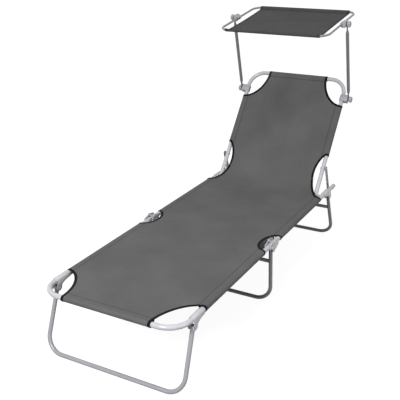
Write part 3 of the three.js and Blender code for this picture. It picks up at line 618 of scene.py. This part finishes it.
def stay_outline():
    """The bar's outline, walked round with a slanted slot at each notch."""
    far, *lengths = [stay_line(radians(a))[0] for a in STAY_ANGLES]
    down = Vector((7, -14)).normalized()
    out = Vector((-down.y, down.x)) * NOTCH
    slant = degrees(atan2(down.y, down.x))
    spread = degrees(asin(NOTCH / BAR_HALF))
    start = degrees(atan2(out.y, out.x))
    points = arc(far, 0, BAR_HALF, 90, slant + spread, 20)
    points += arc(far, 0, NOTCH, start, start + 180, 12)
    points += arc(far, 0, BAR_HALF, slant - spread, -90, 4)
    for length in lengths:
        run = BAR_HALF / -down.y
        wall = [Vector((length, 0)) + out * k + down * (run + out.y * k / -down.y) for k in (1, -1)]
        points += [tuple(wall[0]), *arc(length, 0, NOTCH, start, start + 180, 12), tuple(wall[1])]
    return points + arc(0, 0, BAR_HALF, 270, 90, 20)

stay_slope = stay_line(RECLINE)[1] - RECLINE
for side, name in SIDES:
    at = BACK @ place(side * STAY_X, STAY_RIVET_Y, 0, stay_slope)
    bm = plate(stay_outline(), -STAY_HALF, STAY_HALF)
    stand_in(bm, f"stay_bar_{name}", at, shaded_stay_zinc)
print("stays slope", round(degrees(stay_slope), 1), "from the back")

# %% [markdown]
# ## Clamps
# A split plastic clamp snaps round each side tube, and a block on it takes the stud of the knob.
# The whole clamp is one outline that faces along the tube, with its jaw open on the inner side.

# %% Clamps
CLAMP_HALF, BLOCK_HALF, BLOCK_ROUND, JAW_WALL, MOUTH = 16, 14.0, 4, 3.5, 7.0

def clamp_outline(radius, face):
    """A jaw round the tube, open on the inner side, with a block that reaches outwards."""
    bore = radius + 2 * GAP
    jaw = min(bore + JAW_WALL, BLOCK_HALF)
    mouth = min(MOUTH, bore * cos(pi / 4))
    outer, inner = (degrees(asin(mouth / r)) for r in (jaw, bore))
    x, y = face - BLOCK_ROUND, BLOCK_HALF - BLOCK_ROUND
    points = arc(0, 0, jaw, 180 - outer, 90) + [(radius, BLOCK_HALF)]
    points += arc(x, y, BLOCK_ROUND, 90, 0, 8) + arc(x, -y, BLOCK_ROUND, 0, -90, 8)
    points += [(radius, -BLOCK_HALF)] + arc(0, 0, jaw, -90, outer - 180)
    return points + arc(0, 0, bore, inner - 180, 180 - inner, 36)

for level, carrier, half, radius in (
    ("lower", BACK @ place(0, CLAMP_Y, 0), BACK_X, TUBE),
    ("upper", CANOPY, CANOPY_X, CANOPY_TUBE),
):
    outline = clamp_outline(radius, CLAMP_FACE - half)
    for side, name in SIDES:
        bm = plate(outline, -CLAMP_HALF, CLAMP_HALF, FACING_ALONG, 0.8)
        at = mirror_x(carrier, side) @ place(half, 0, 0)
        stand_in(bm, f"{level}_clamp_{name}", at, plastic)
    print(level, "clamp reaches", CLAMP_FACE - half, "mm out from its tube")

# %% [markdown]
# ## Leg brackets
# A leg bracket is a saddle pressed over the rail, with two ears that taper to the leg's pivot and
# a small wall between them that the opened leg comes up against. The real one is a single
# pressing. Four plates merged into one piece look the same and keep each outline simple.

# %% Leg brackets
EAR_X, SADDLE_START, SADDLE_END = TUBE + GAP, 9, 64
STOP_HALF, STOP_THICK, STOP_HEIGHT, STOP_DROP = 9.9, 0.75, 6, 5

def ear_outline(away):
    """An ear: along the rail on the bed's side of the leg, and drawn in towards the pivot."""
    points = arc(-5, 3, 4, 180, 90, 6) + arc(60, 3, 4, 90, 0, 6) + arc(60, -5, 4, 0, -80, 6)
    points += curve((60.7, -9), (24, -10), (12.6, -23), 16) + arc(0, -LEG_DROP, 13, 8, -150, 22)
    points += [(-15, -30), (-15.5, -20), (-9, -12)]
    return [(-away * y, z) for y, z in points]

def saddle(away):
    """The half pipe that joins the two ears over the rail."""
    outline = arc(0, 0, EAR_X + EAR, 0, 180, 28) + arc(0, 0, EAR_X, 180, 0, 28)
    return plate(outline, *sorted((away * SADDLE_END, -away * SADDLE_START)), FACING_ALONG, 0.3)

def leg_stop(angle, away):
    """The small wall between the ears that the leg comes up against."""
    corners = [(x * STOP_THICK, y * STOP_HEIGHT) for x, y in ((-1, -1), (1, -1), (1, 1), (-1, 1))]
    offset = away * (LEG + GAP + STOP_THICK)
    y = sin(angle) * STOP_DROP + cos(angle) * offset
    z = sin(angle) * offset - cos(angle) * STOP_DROP
    bm = plate(corners, -STOP_HALF, STOP_HALF)
    bmesh.ops.transform(bm, matrix=place(0, y, z - LEG_DROP, angle), verts=bm.verts)
    return bm

for leg_name, carrier, y, z, away, angle in (
    ("foot_leg", FOOT, FOOT_LEG_Y - KNEE_Y, -KNEE_RISE, -1, FOOT_LEG_TURN),
    ("rear_leg", ROW, REAR_LEG_Y, BED_Z, 1, REAR_LEG_TURN),
):
    for side, name in SIDES:
        ears = [plate(ear_outline(away), x, x + EAR) for x in (-EAR_X - EAR, EAR_X)]
        bracket = merged(saddle(away), leg_stop(angle, away), *ears)
        print(leg_name, name, "bracket faces", len(bracket.faces))
        at = carrier @ place(side * RAIL_X, y, z)
        stand_in(bracket, f"{leg_name}_bracket_{name}", at, coat)

# %% [markdown]
# ## The flat pattern of the bed cloth
# The cloth is one long panel whose sides wrap round the tubes and are sewn back under the panel.
# A point of the flat pattern has a place across, from the middle line, and a place along, from
# the crest of the foot bar. The function below bends that pattern round the bed: flat over the
# seat, round through the corner in front of the hinge, and up the back. A simulation could find
# this shape too, but the cloth is held taut on all sides, so its shape is already known.

# %% Bed surface
SKIN = TUBE + 1.3
CORNER, SAG, SAG_RUN, SEAM_IN, SEAM_GAP = 72.0, 7.0, 300, 18.0, 2.4

def sleeve(radius, seam_in, seam_up):
    """The angle at which a flap leaves its tube for the seam, and the flap's whole length."""
    seam_reach = hypot(seam_in, seam_up)
    end = atan2(-seam_in, seam_up) + 2 * pi - acos(radius / seam_reach)
    return end, radius * end + sqrt(seam_reach**2 - radius**2)

WRAP_END, FLAP = sleeve(SKIN, SEAM_IN, SKIN - SEAM_GAP)
corner_radius = CORNER / tan(RECLINE / 2)
hinge_setback = SKIN * tan(RECLINE / 2)
CORNER_START = HINGE_Y - hinge_setback - CORNER
BACK_START = CORNER_START + corner_radius * RECLINE
HEAD = BACK_START + BACK_LENGTH - (CORNER + hinge_setback)

def wrapped(past, lift, radius=SKIN, end=WRAP_END):
    """How far out and up a point lies from a tube's centre, this far past its crest."""
    a = np.minimum(past / radius, end)
    over = past - a * radius
    return (
        (radius + lift) * np.sin(a) + over * np.cos(a),
        (radius + lift) * np.cos(a) - over * np.sin(a),
    )

def bed_surface(u, v, lift=0.0):
    """Points of the flat pattern, this far above the cloth's middle, bent round the bed."""
    u, v, lift = np.broadcast_arrays(np.asarray(u, float), np.asarray(v, float), lift)
    rail = np.where(v < BACK_START, RAIL_X, BACK_X)
    past = np.maximum(np.abs(u) - rail, 0.0)
    out, up = wrapped(past, lift)
    x = np.sign(u) * np.where(past > 0, rail + out, np.abs(u))
    inner = np.clip(1 - (u / rail) ** 2, 0, 1)
    ends = np.clip(v / SAG_RUN, 0, 1) * np.clip((HEAD - v) / SAG_RUN, 0, 1)
    up = np.where(past > 0, up, SKIN + lift) - SAG * inner * ends * (2 - ends)
    a = np.clip((v - CORNER_START) / corner_radius, 0, RECLINE)
    beyond = np.clip(v - BACK_START, 0, HEAD - BACK_START)
    y = np.clip(v, 0, CORNER_START) + corner_radius * np.sin(a) + beyond * np.cos(a)
    z = BED_Z + SKIN + corner_radius * (1 - np.cos(a)) + beyond * np.sin(a)
    past_end = np.maximum(np.maximum(-v, v - HEAD), 0.0)
    end_out, end_up = wrapped(past_end, lift)
    end_out = np.where(past_end > 0, end_out, 0.0) * np.where(v < 0, -1, 1)
    rise = np.where(past_end > 0, end_up, up) - SKIN
    y = y + end_out * np.cos(a) - rise * np.sin(a)
    z = z + end_out * np.sin(a) + rise * np.cos(a)
    return np.stack([x, y, z], -1)

print("flap", round(FLAP, 1), "corner", round(CORNER_START, 1), "to", round(BACK_START, 1),
      "head", round(HEAD, 1))

# %% [markdown]
# ## Cut-outs
# The cloth is cut away in a curve wherever it would foul a corner or a hinge: at both foot
# corners, round the knee, at the back's hinge and at both head corners. Half the width of the
# cloth is therefore a function of the place along it. The rows are closer together where the
# curve turns fastest.

# %% Cut-outs
def curve_rows(middle, half_length, width, edge, start, end, count, fullness=1.0):
    """Rows round an oval cut-out, as places along and half widths of the cloth."""
    a = np.linspace(start, end, count)
    along = np.sign(np.sin(a)) * np.abs(np.sin(a)) ** fullness
    return middle + half_length * along, edge - width * np.abs(np.cos(a)) ** fullness

def straight_rows(start, end, first, last, step=8.0):
    """Evenly spaced rows between two cut-outs."""
    count = max(2, int((end - start) / step))
    return np.linspace((start, first), (end, last), count + 1)[1:-1].T

def smooth_curve(x, y, count):
    """A rounded line through a few points, by the length between them."""
    points = np.stack([x, y], -1)
    for _ in range(4):
        mids = [points[:1]]
        for a, b in zip(points, points[1:]):
            mids.append(np.stack([a * 0.75 + b * 0.25, a * 0.25 + b * 0.75]))
        points = np.concatenate([*mids, points[-1:]])
    steps = np.concatenate([[0], np.cumsum(np.hypot(*np.diff(points, axis=0).T))])
    at = np.linspace(0, steps[-1], count)
    return np.interp(at, steps, points[:, 0]), np.interp(at, steps, points[:, 1])

def joined(*runs):
    """One list of rows out of several runs."""
    return np.concatenate([r[0] for r in runs]), np.concatenate([r[1] for r in runs])

quarter = pi / 2
SPLIT = 1000.0
SEAT_EDGE, KNEE_EDGE, BACK_EDGE, HEAD_EDGE = 285.0, 289.5, 254.0, 252.5
FOOT_CUT_END, FOOT_CUT_WIDE, HEAD_CUT_START, HEAD_CUT_WIDE = 158, 105, HEAD - 134, 102
KNEE_CUT, KNEE_CUT_HALF, KNEE_CUT_WIDE = 706.0, 72.0, 46
HINGE_CUT_START, HINGE_CUT_END = 1236, 1461.0
hinge_cut = smooth_curve(
    [HINGE_CUT_START, 1237.5, 1241, 1247, 1256, 1268, 1284, 1304, 1330, 1357, 1385, 1412, 1434,
     1450, 1460, HINGE_CUT_END],
    [SEAT_EDGE, 275, 268, 261, 254, 246, 237, 227.5, 219.5, 215.5, 216, 221.5, 230, 239, 248, BACK_EDGE],
    90,
)
foot_cut = curve_rows(0, FOOT_CUT_END, FOOT_CUT_WIDE, SEAT_EDGE, 0, quarter, 32, 1.12)
knee_cut = curve_rows(KNEE_CUT, KNEE_CUT_HALF, KNEE_CUT_WIDE, KNEE_EDGE, -quarter, quarter, 48)
head_cut = curve_rows(HEAD, HEAD - HEAD_CUT_START, HEAD_CUT_WIDE, HEAD_EDGE, -quarter, 0, 32, 1.08)
split_row = ([SPLIT], [SEAT_EDGE])
lower_rows = joined(
    foot_cut,
    straight_rows(FOOT_CUT_END, KNEE_CUT - KNEE_CUT_HALF, SEAT_EDGE, KNEE_EDGE),
    knee_cut,
    straight_rows(KNEE_CUT + KNEE_CUT_HALF, SPLIT, KNEE_EDGE, SEAT_EDGE),
    split_row,
)
upper_rows = joined(
    split_row,
    straight_rows(SPLIT, HINGE_CUT_START, SEAT_EDGE, SEAT_EDGE),
    hinge_cut,
    straight_rows(HINGE_CUT_END, HEAD_CUT_START, BACK_EDGE, HEAD_EDGE),
    head_cut,
)
print("rows", len(lower_rows[0]), len(upper_rows[0]))

# %% [markdown]
# ## The bed cloth
# Each panel is a grid of the flat pattern, and the sleeves are narrower grids welded to its
# sides. Every corner of the mesh keeps its place in the flat pattern as a UV, so the weave runs
# straight through the cut-outs and round the tubes. Two sheets meet in the middle of the seat,
# since each can bend across only one hinge.

# %% Cloth builders
def cloth_mesh():
    """An empty bmesh that keeps each point's place in the flat pattern."""
    bm = bmesh.new()
    bm.verts.layers.float_vector.new("pattern")
    return bm

def flat_grid(bm, u, v, surface, lift=0.0):
    """A grid whose corners lie at the given flat places, bent by the surface function."""
    u, v = np.broadcast_arrays(u, v)
    rows, columns = u.shape
    before = len(bm.verts)
    bmesh.ops.create_grid(bm, x_segments=columns - 1, y_segments=rows - 1, size=1.0)
    bm.verts.ensure_lookup_table()
    fresh = sorted(bm.verts[before:], key=lambda vert: (round(vert.co.y, 6), round(vert.co.x, 6)))
    flat = bm.verts.layers.float_vector["pattern"]
    for vert, point, *at in zip(fresh, surface(u, v, lift).reshape(-1, 3), u.ravel(), v.ravel()):
        vert.co, vert[flat] = point, (*at, 0.0)

def flat_area(bm):
    """The area of the flat pattern, in square metres."""
    flat = bm.verts.layers.float_vector["pattern"]
    total = 0.0
    for face in bm.faces:
        pts = [v[flat] for v in face.verts]
        total += abs(sum(a.x * b.y - b.x * a.y for a, b in zip(pts, pts[1:] + pts[:1]))) / 2
    return total * MM**2

def cloth_piece(name, bm, matrix, material, thickness=0.0012, weld=0.02):
    """A finished cloth: welded, unfolded into its UVs, and given thickness."""
    bmesh.ops.remove_doubles(bm, verts=bm.verts, dist=weld)
    flat = bm.verts.layers.float_vector["pattern"]
    uv = bm.loops.layers.uv.new("flat")
    for face in bm.faces:
        for loop in face.loops:
            loop[uv].uv = loop.vert[flat].xy * MM
    piece = finished(name, bm, matrix, material, 60.0)
    if thickness:
        uses = np.bincount([loop.edge_index for loop in piece.data.loops])
        for border in np.flatnonzero(uses == 1):
            piece.data.edges[border].use_edge_sharp = True
        thick = piece.modifiers.new("thickness", "SOLIDIFY")
        thick.thickness = thickness
        thick.offset = 0.0
    return piece

def panel(v, half, columns=88):
    """Flat places of a panel, from its rows and half its width at each."""
    return half[:, None] * np.linspace(-1, 1, columns + 1), v[:, None]

# %% Bed cloth
SLEEVE_STEPS = np.linspace(0, 1, 27)
KNEE_LOW, KNEE_HIGH = 630, 782

def bed_sheet(name, rows, sleeves, bar, away):
    """A sheet of the bed: its panel, its sleeves along the rails, and the one round its bar."""
    bm = cloth_mesh()
    flat_grid(bm, *panel(*rows), bed_surface)
    for start, end, rail in sleeves:
        chosen = (rows[0] >= start - 1e-6) & (rows[0] <= end + 1e-6)
        v, half = rows[0][chosen, None], rows[1][chosen, None]
        for side, _ in SIDES:
            flat_grid(bm, side * (half + (rail + FLAP - half) * SLEEVE_STEPS), v, bed_surface)
    bar_half = rows[1][:1] if away < 0 else rows[1][-1:]
    flat_grid(bm, *panel(bar + away * FLAP * SLEEVE_STEPS, bar_half), bed_surface)
    area = flat_area(bm)
    sheet = cloth_piece(name, bm, ROW, bed_cloth)
    print(name, len(sheet.data.polygons), "faces", round(area, 4), "m2")
    return sheet, area

lower_cloth, lower_area = bed_sheet(
    "bed_cloth_lower", lower_rows,
    ((FOOT_CUT_END, KNEE_LOW, RAIL_X), (KNEE_HIGH, SPLIT, RAIL_X)), 0.0, -1,
)
upper_cloth, upper_area = bed_sheet(
    "bed_cloth_upper", upper_rows,
    ((SPLIT, HINGE_CUT_START, RAIL_X), (HINGE_CUT_END, HEAD_CUT_START, BACK_X)), HEAD, 1,
)

# %% [markdown]
# ## Binding tape
# Every cut-out is bound with dark tape, folded over the edge and sewn through. The tape is a
# thin closed band that follows the edge of the flat pattern and is bent by the same function
# as the cloth, so it lies on it exactly.

# %% Tape builder
TAPE_TOP = [(9.8, 0.3), (9.5, 1.0), (7, 1.1), (4, 1.1), (1.2, 1.1), (-0.2, 0.9), (-0.8, 0.45)]
TAPE_UNDER = [(depth, -lift) for depth, lift in reversed(TAPE_TOP)]
TAPE_SECTION = TAPE_TOP + [(-0.95, 0)] + TAPE_UNDER + TAPE_TOP[:1]
TAPE_STEP, TAPE_LEAST = 1.5, 0.4

def tape(name, u, v, inside, surface, matrix, material=tape_cloth):
    """A folded band along an edge of the pattern, with the cloth on the given side of it."""
    points = np.stack([u, v], -1)
    step = np.gradient(points, axis=0)
    step /= np.linalg.norm(step, axis=1, keepdims=True)
    inward = np.stack([-step[:, 1], step[:, 0]], -1) * inside
    depth, lift = np.array(TAPE_SECTION).T
    at = points[:, None, :] + inward[:, None, :] * depth[None, :, None]
    bm = cloth_mesh()
    flat_grid(bm, at[..., 0], at[..., 1], surface, lift)
    bmesh.ops.remove_doubles(bm, verts=bm.verts, dist=0.001)
    bmesh.ops.holes_fill(bm, edges=[e for e in bm.edges if e.is_boundary])
    return cloth_piece(name, bm, matrix, material, thickness=0.0, weld=0.0001)

def with_ends(cut, before, after):
    """The edge of a cut-out with its runs round the tubes added at either end, as u and v."""
    first, last = (
        np.linspace(*run, int(dist(*run) / TAPE_STEP) + 2) for run in (before, after)
    )
    path = np.concatenate([first, np.stack(cut[::-1], -1), last])
    keep = [0]
    for i in range(1, len(path)):
        if np.hypot(*(path[i] - path[keep[-1]])) > TAPE_LEAST:
            keep.append(i)
    return path[keep].T

# %% Bed tapes
rail_reach, back_reach = RAIL_X + FLAP, BACK_X + FLAP
foot_x, head_x = SEAT_EDGE - FOOT_CUT_WIDE, HEAD_EDGE - HEAD_CUT_WIDE
tapes = {lower_cloth: [], upper_cloth: []}
for name, sheet, cut, before, after in (
    ("foot", lower_cloth, foot_cut, ((foot_x, -FLAP), (foot_x, 0)),
     ((SEAT_EDGE, FOOT_CUT_END), (rail_reach, FOOT_CUT_END))),
    ("knee", lower_cloth, knee_cut, ((rail_reach, KNEE_LOW), (KNEE_EDGE, KNEE_LOW)),
     ((KNEE_EDGE, KNEE_HIGH), (rail_reach, KNEE_HIGH))),
    ("hinge", upper_cloth, hinge_cut, ((rail_reach, HINGE_CUT_START), (SEAT_EDGE, HINGE_CUT_START)),
     ((BACK_EDGE, HINGE_CUT_END), (back_reach, HINGE_CUT_END))),
    ("head", upper_cloth, head_cut, ((back_reach, HEAD_CUT_START), (HEAD_EDGE, HEAD_CUT_START)),
     ((head_x, HEAD), (head_x, HEAD + FLAP))),
):
    u, v = with_ends(cut, before, after)
    for side, side_name in SIDES:
        tapes[sheet].append(tape(f"{name}_tape_{side_name}", side * u, v, side, bed_surface, ROW))
print("tapes", sum(len(t) for t in tapes.values()))

# %% [markdown]
# ## Facings at the knee
# At the knee a facing of the bed's cloth hangs from the inner edge of each cut-out and leans
# out to the hinge plates. It is a sheet put in as shade: it blocks the view through the gap
# beside the plates and shows dark in its own shadow. It is deep towards the foot and shallow
# towards the head, where the middle leg's crossbar comes up when the leg is folded.

# %% Knee facings
FACING_DEPTH, FACING_LEAST, FACING_OUT = 42.0, 20.0, 262.0
FACING_END, FALL_START, FALL_END = (radians(a) for a in (63, -34, 20))

def facing_surface(u, v, lift=0.0):
    """Points of a facing that hangs from the cut-out's edge, by how far inwards they lie flat."""
    edge = np.interp(v, *knee_cut)
    drop = edge - np.abs(u)
    top = bed_surface(np.sign(u) * edge, v, -1.2)
    out = np.minimum(0.42 * drop, np.maximum(-0.12 * drop, FACING_OUT - edge))
    return top + np.stack([np.sign(u) * out, 0 * drop, -0.92 * drop], -1)

angles = np.linspace(-FACING_END, FACING_END, 41)
facing_v = KNEE_CUT + KNEE_CUT_HALF * np.sin(angles)
fall = np.clip((angles - FALL_START) / (FALL_END - FALL_START), 0, 1)
depth = FACING_DEPTH + (FACING_LEAST - FACING_DEPTH) * fall**2
facing_u = np.interp(facing_v, *knee_cut)[:, None] - depth[:, None] * np.linspace(0, 1, 9)
# Each facing is a sheet of bed cloth put in as shade, to block the view through the gap.
for side, side_name in SIDES:
    bm = cloth_mesh()
    flat_grid(bm, side * facing_u, facing_v[:, None], facing_surface)
    tapes[lower_cloth].append(cloth_piece(f"knee_facing_{side_name}", bm, ROW, bed_cloth))
print("facing depth", depth[0], "to", depth[-1])

# %% [markdown]
# ## The bed cloth baked in place
# Each sheet, with its tapes and facings, has its place baked into its mesh, and the frame's
# fabric is hidden. The lower sheet spans the knee, between the foot section and the seat, and
# the upper sheet spans the hinge of the back. The bodies and bend lengths listed for each are
# not used here.

# %% Hold the bed cloth
KNEE_BEND, HINGE_BEND = 26, 60
up_back = Vector((0, cos(RECLINE), sin(RECLINE)))
knee, hinge = Vector((0, KNEE_Y, BED_Z)), Vector((0, HINGE_Y, BED_Z))
for sheet, bodies, start, end in (
    (lower_cloth, ("foot_section", "seat"), knee - ALONG * KNEE_BEND, knee + ALONG * KNEE_BEND),
    (upper_cloth, ("seat", "backrest"), hinge - ALONG * HINGE_BEND, hinge + up_back * HINGE_BEND),
):
    for piece in [sheet, *tapes[sheet]]:
        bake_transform(piece)
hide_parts("foot_fabric", "seat_fabric")
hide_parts("hinge_fabric", "back_fabric")

# %% [markdown]
# ## The canopy cloth
# The canopy's panel hangs between its front and back bars. It leaves each bar from below, and
# its hem comes back over the bar and is sewn down on the upper side. The two free edges are
# bound. A function of its own bends the flat panel, as for the bed cloth.

# %% Canopy surface
CANOPY_SKIN, HEM, HEM_GAP = CANOPY_TUBE + 0.8, 14.0, 1.3
CANOPY_HALF, CANOPY_WAIST, CANOPY_SAG = 226.0, 3, 2.0
CANOPY_MIDDLE, CANOPY_REACH = (CANOPY_BACK + CANOPY_FRONT) / 2, (CANOPY_BACK - CANOPY_FRONT) / 2
HEM_END, HEM_FLAP = sleeve(CANOPY_SKIN, HEM, CANOPY_SKIN - HEM_GAP)

def bar_drop(u):
    """How far the canopy's bar has bent away from its straight run."""
    past = np.maximum(np.abs(u) - (CANOPY_X - CANOPY_BEND), 0)
    return CANOPY_BEND - np.sqrt(np.maximum(CANOPY_BEND**2 - past**2, 0))

def canopy_surface(u, v, lift=0.0):
    """Points of the canopy's flat pattern in its own frame. Below the bars is the outside."""
    u, v, lift = np.broadcast_arrays(np.asarray(u, float), np.asarray(v, float), lift)
    inside = np.clip(v, CANOPY_FRONT, CANOPY_BACK)
    share = (inside - CANOPY_MIDDLE) / CANOPY_REACH
    past = np.abs(v - inside)
    out, down = wrapped(past, lift, CANOPY_SKIN, HEM_END)
    y = CANOPY_MIDDLE + share * (CANOPY_REACH - bar_drop(u))
    y = y + np.sign(v - inside) * np.where(past > 0, out, 0)
    z = -np.where(past > 0, down, CANOPY_SKIN + lift)
    z = z - CANOPY_SAG * (1 - share**2) * (0.75 + 0.25 * (u / CANOPY_HALF) ** 2)
    return np.stack([u, y, z], -1)

def canopy_half(v):
    """Half the canopy's width, a little less between the bars."""
    share = np.clip((v - CANOPY_MIDDLE) / CANOPY_REACH, -1, 1)
    return CANOPY_HALF - CANOPY_WAIST * (1 - share**2)

print("hem", round(HEM_FLAP, 1), "mm")

# %% Canopy cloth
hem_steps = np.linspace(0, HEM_FLAP, 27)
between = np.linspace(CANOPY_FRONT, CANOPY_BACK, 61)
v = np.concatenate([CANOPY_FRONT - hem_steps[:0:-1], between, CANOPY_BACK + hem_steps[1:]])
bm = cloth_mesh()
flat_grid(bm, *panel(v, canopy_half(v), 72), canopy_surface)
canopy_panel = cloth_piece("canopy_panel", bm, CANOPY, canopy_cloth)
v = np.linspace(v[0], v[-1], 260)
canopy_tapes = [
    tape(f"canopy_tape_{name}", side * canopy_half(v), v, side, canopy_surface, CANOPY, hem_cloth)
    for side, name in SIDES
]
for piece in [canopy_panel, *canopy_tapes]:
    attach(piece, "canopy")
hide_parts("canopy_fabric")

# %% [markdown]
# ## Floor and light
# The lounger stands on a white sweep, as in a small studio. A soft light stands in front of the
# foot end, and a weaker one to the right lifts the shaded sides. The world is brighter overhead
# than near the horizon, which gives the round tubes their darker flanks. The floor glows only
# for rays that see it directly, so it shows white and still takes the lounger's soft shadow.

# %% Floor
WHITE, FLOOR_SIZE, FLOOR_GLOW = grey(1.0), 14.0, 0.93

def seen_directly(tree):
    """1 for rays from the camera, a reflection or a clear surface, and 0 for all others."""
    ray = add(tree, "ShaderNodeLightPath").outputs
    seen = math_node(tree, "MAXIMUM", ray["Is Camera Ray"], ray["Is Glossy Ray"])
    return math_node(tree, "MAXIMUM", seen, ray["Is Transmission Ray"])

bm = bmesh.new()
bmesh.ops.create_grid(bm, x_segments=2, y_segments=2, size=FLOOR_SIZE)
floor_material, tree, shader = new_material(
    "floor", Roughness=0.9, Specular_IOR_Level=0.1, Emission_Color=WHITE
)
seen = seen_directly(tree)
base = mix_colour(tree, seen, grey(0.12), grey(0.2))
link(base, shader.inputs["Base Color"])
link(math_node(tree, "MULTIPLY", seen, FLOOR_GLOW), shader.inputs["Emission Strength"])
floor = finished("floor", bm, Matrix.Identity(4), floor_material)

# %% Light
SKY_RISE, HORIZON = 0.45, 0.06

def area_light(name, spot, size, power, aim):
    """A square soft light at a place, turned to face a point."""
    data = bpy.data.lights.new(name, "AREA")
    data.size = size
    data.energy = power
    light = bpy.data.objects.new(name, data)
    bpy.context.collection.objects.link(light)
    light.location = spot
    light.rotation_mode = "QUATERNION"
    light.rotation_quaternion = (Vector(aim) - Vector(spot)).to_track_quat("-Z", "Y")

area_light("key", (0.1, -3.6, 3.0), 1.3, 175, (0, 0, 0.3))
area_light("fill", (4.0, -0.9, 1.1), 1.6, 42, (0, 0, 0.4))
world = bpy.data.worlds.new("studio")
bpy.context.scene.world = world
world.use_nodes = True
tree = world.node_tree
background = tree.nodes["Background"]
upward = add(tree, "ShaderNodeSeparateXYZ")
link(add(tree, "ShaderNodeTexCoord").outputs["Generated"], upward.inputs[0])
sky = math_node(tree, "MAXIMUM", upward.outputs[2], 0.0)
sky = math_node(tree, "MULTIPLY_ADD", sky, SKY_RISE, HORIZON)
unlit = math_node(tree, "SUBTRACT", 1.0, sky)
strength = math_node(tree, "MULTIPLY_ADD", seen_directly(tree), unlit, sky)
background.inputs["Color"].default_value = WHITE
link(strength, background.inputs["Strength"])
bpy.context.scene.view_settings.view_transform = "Standard"
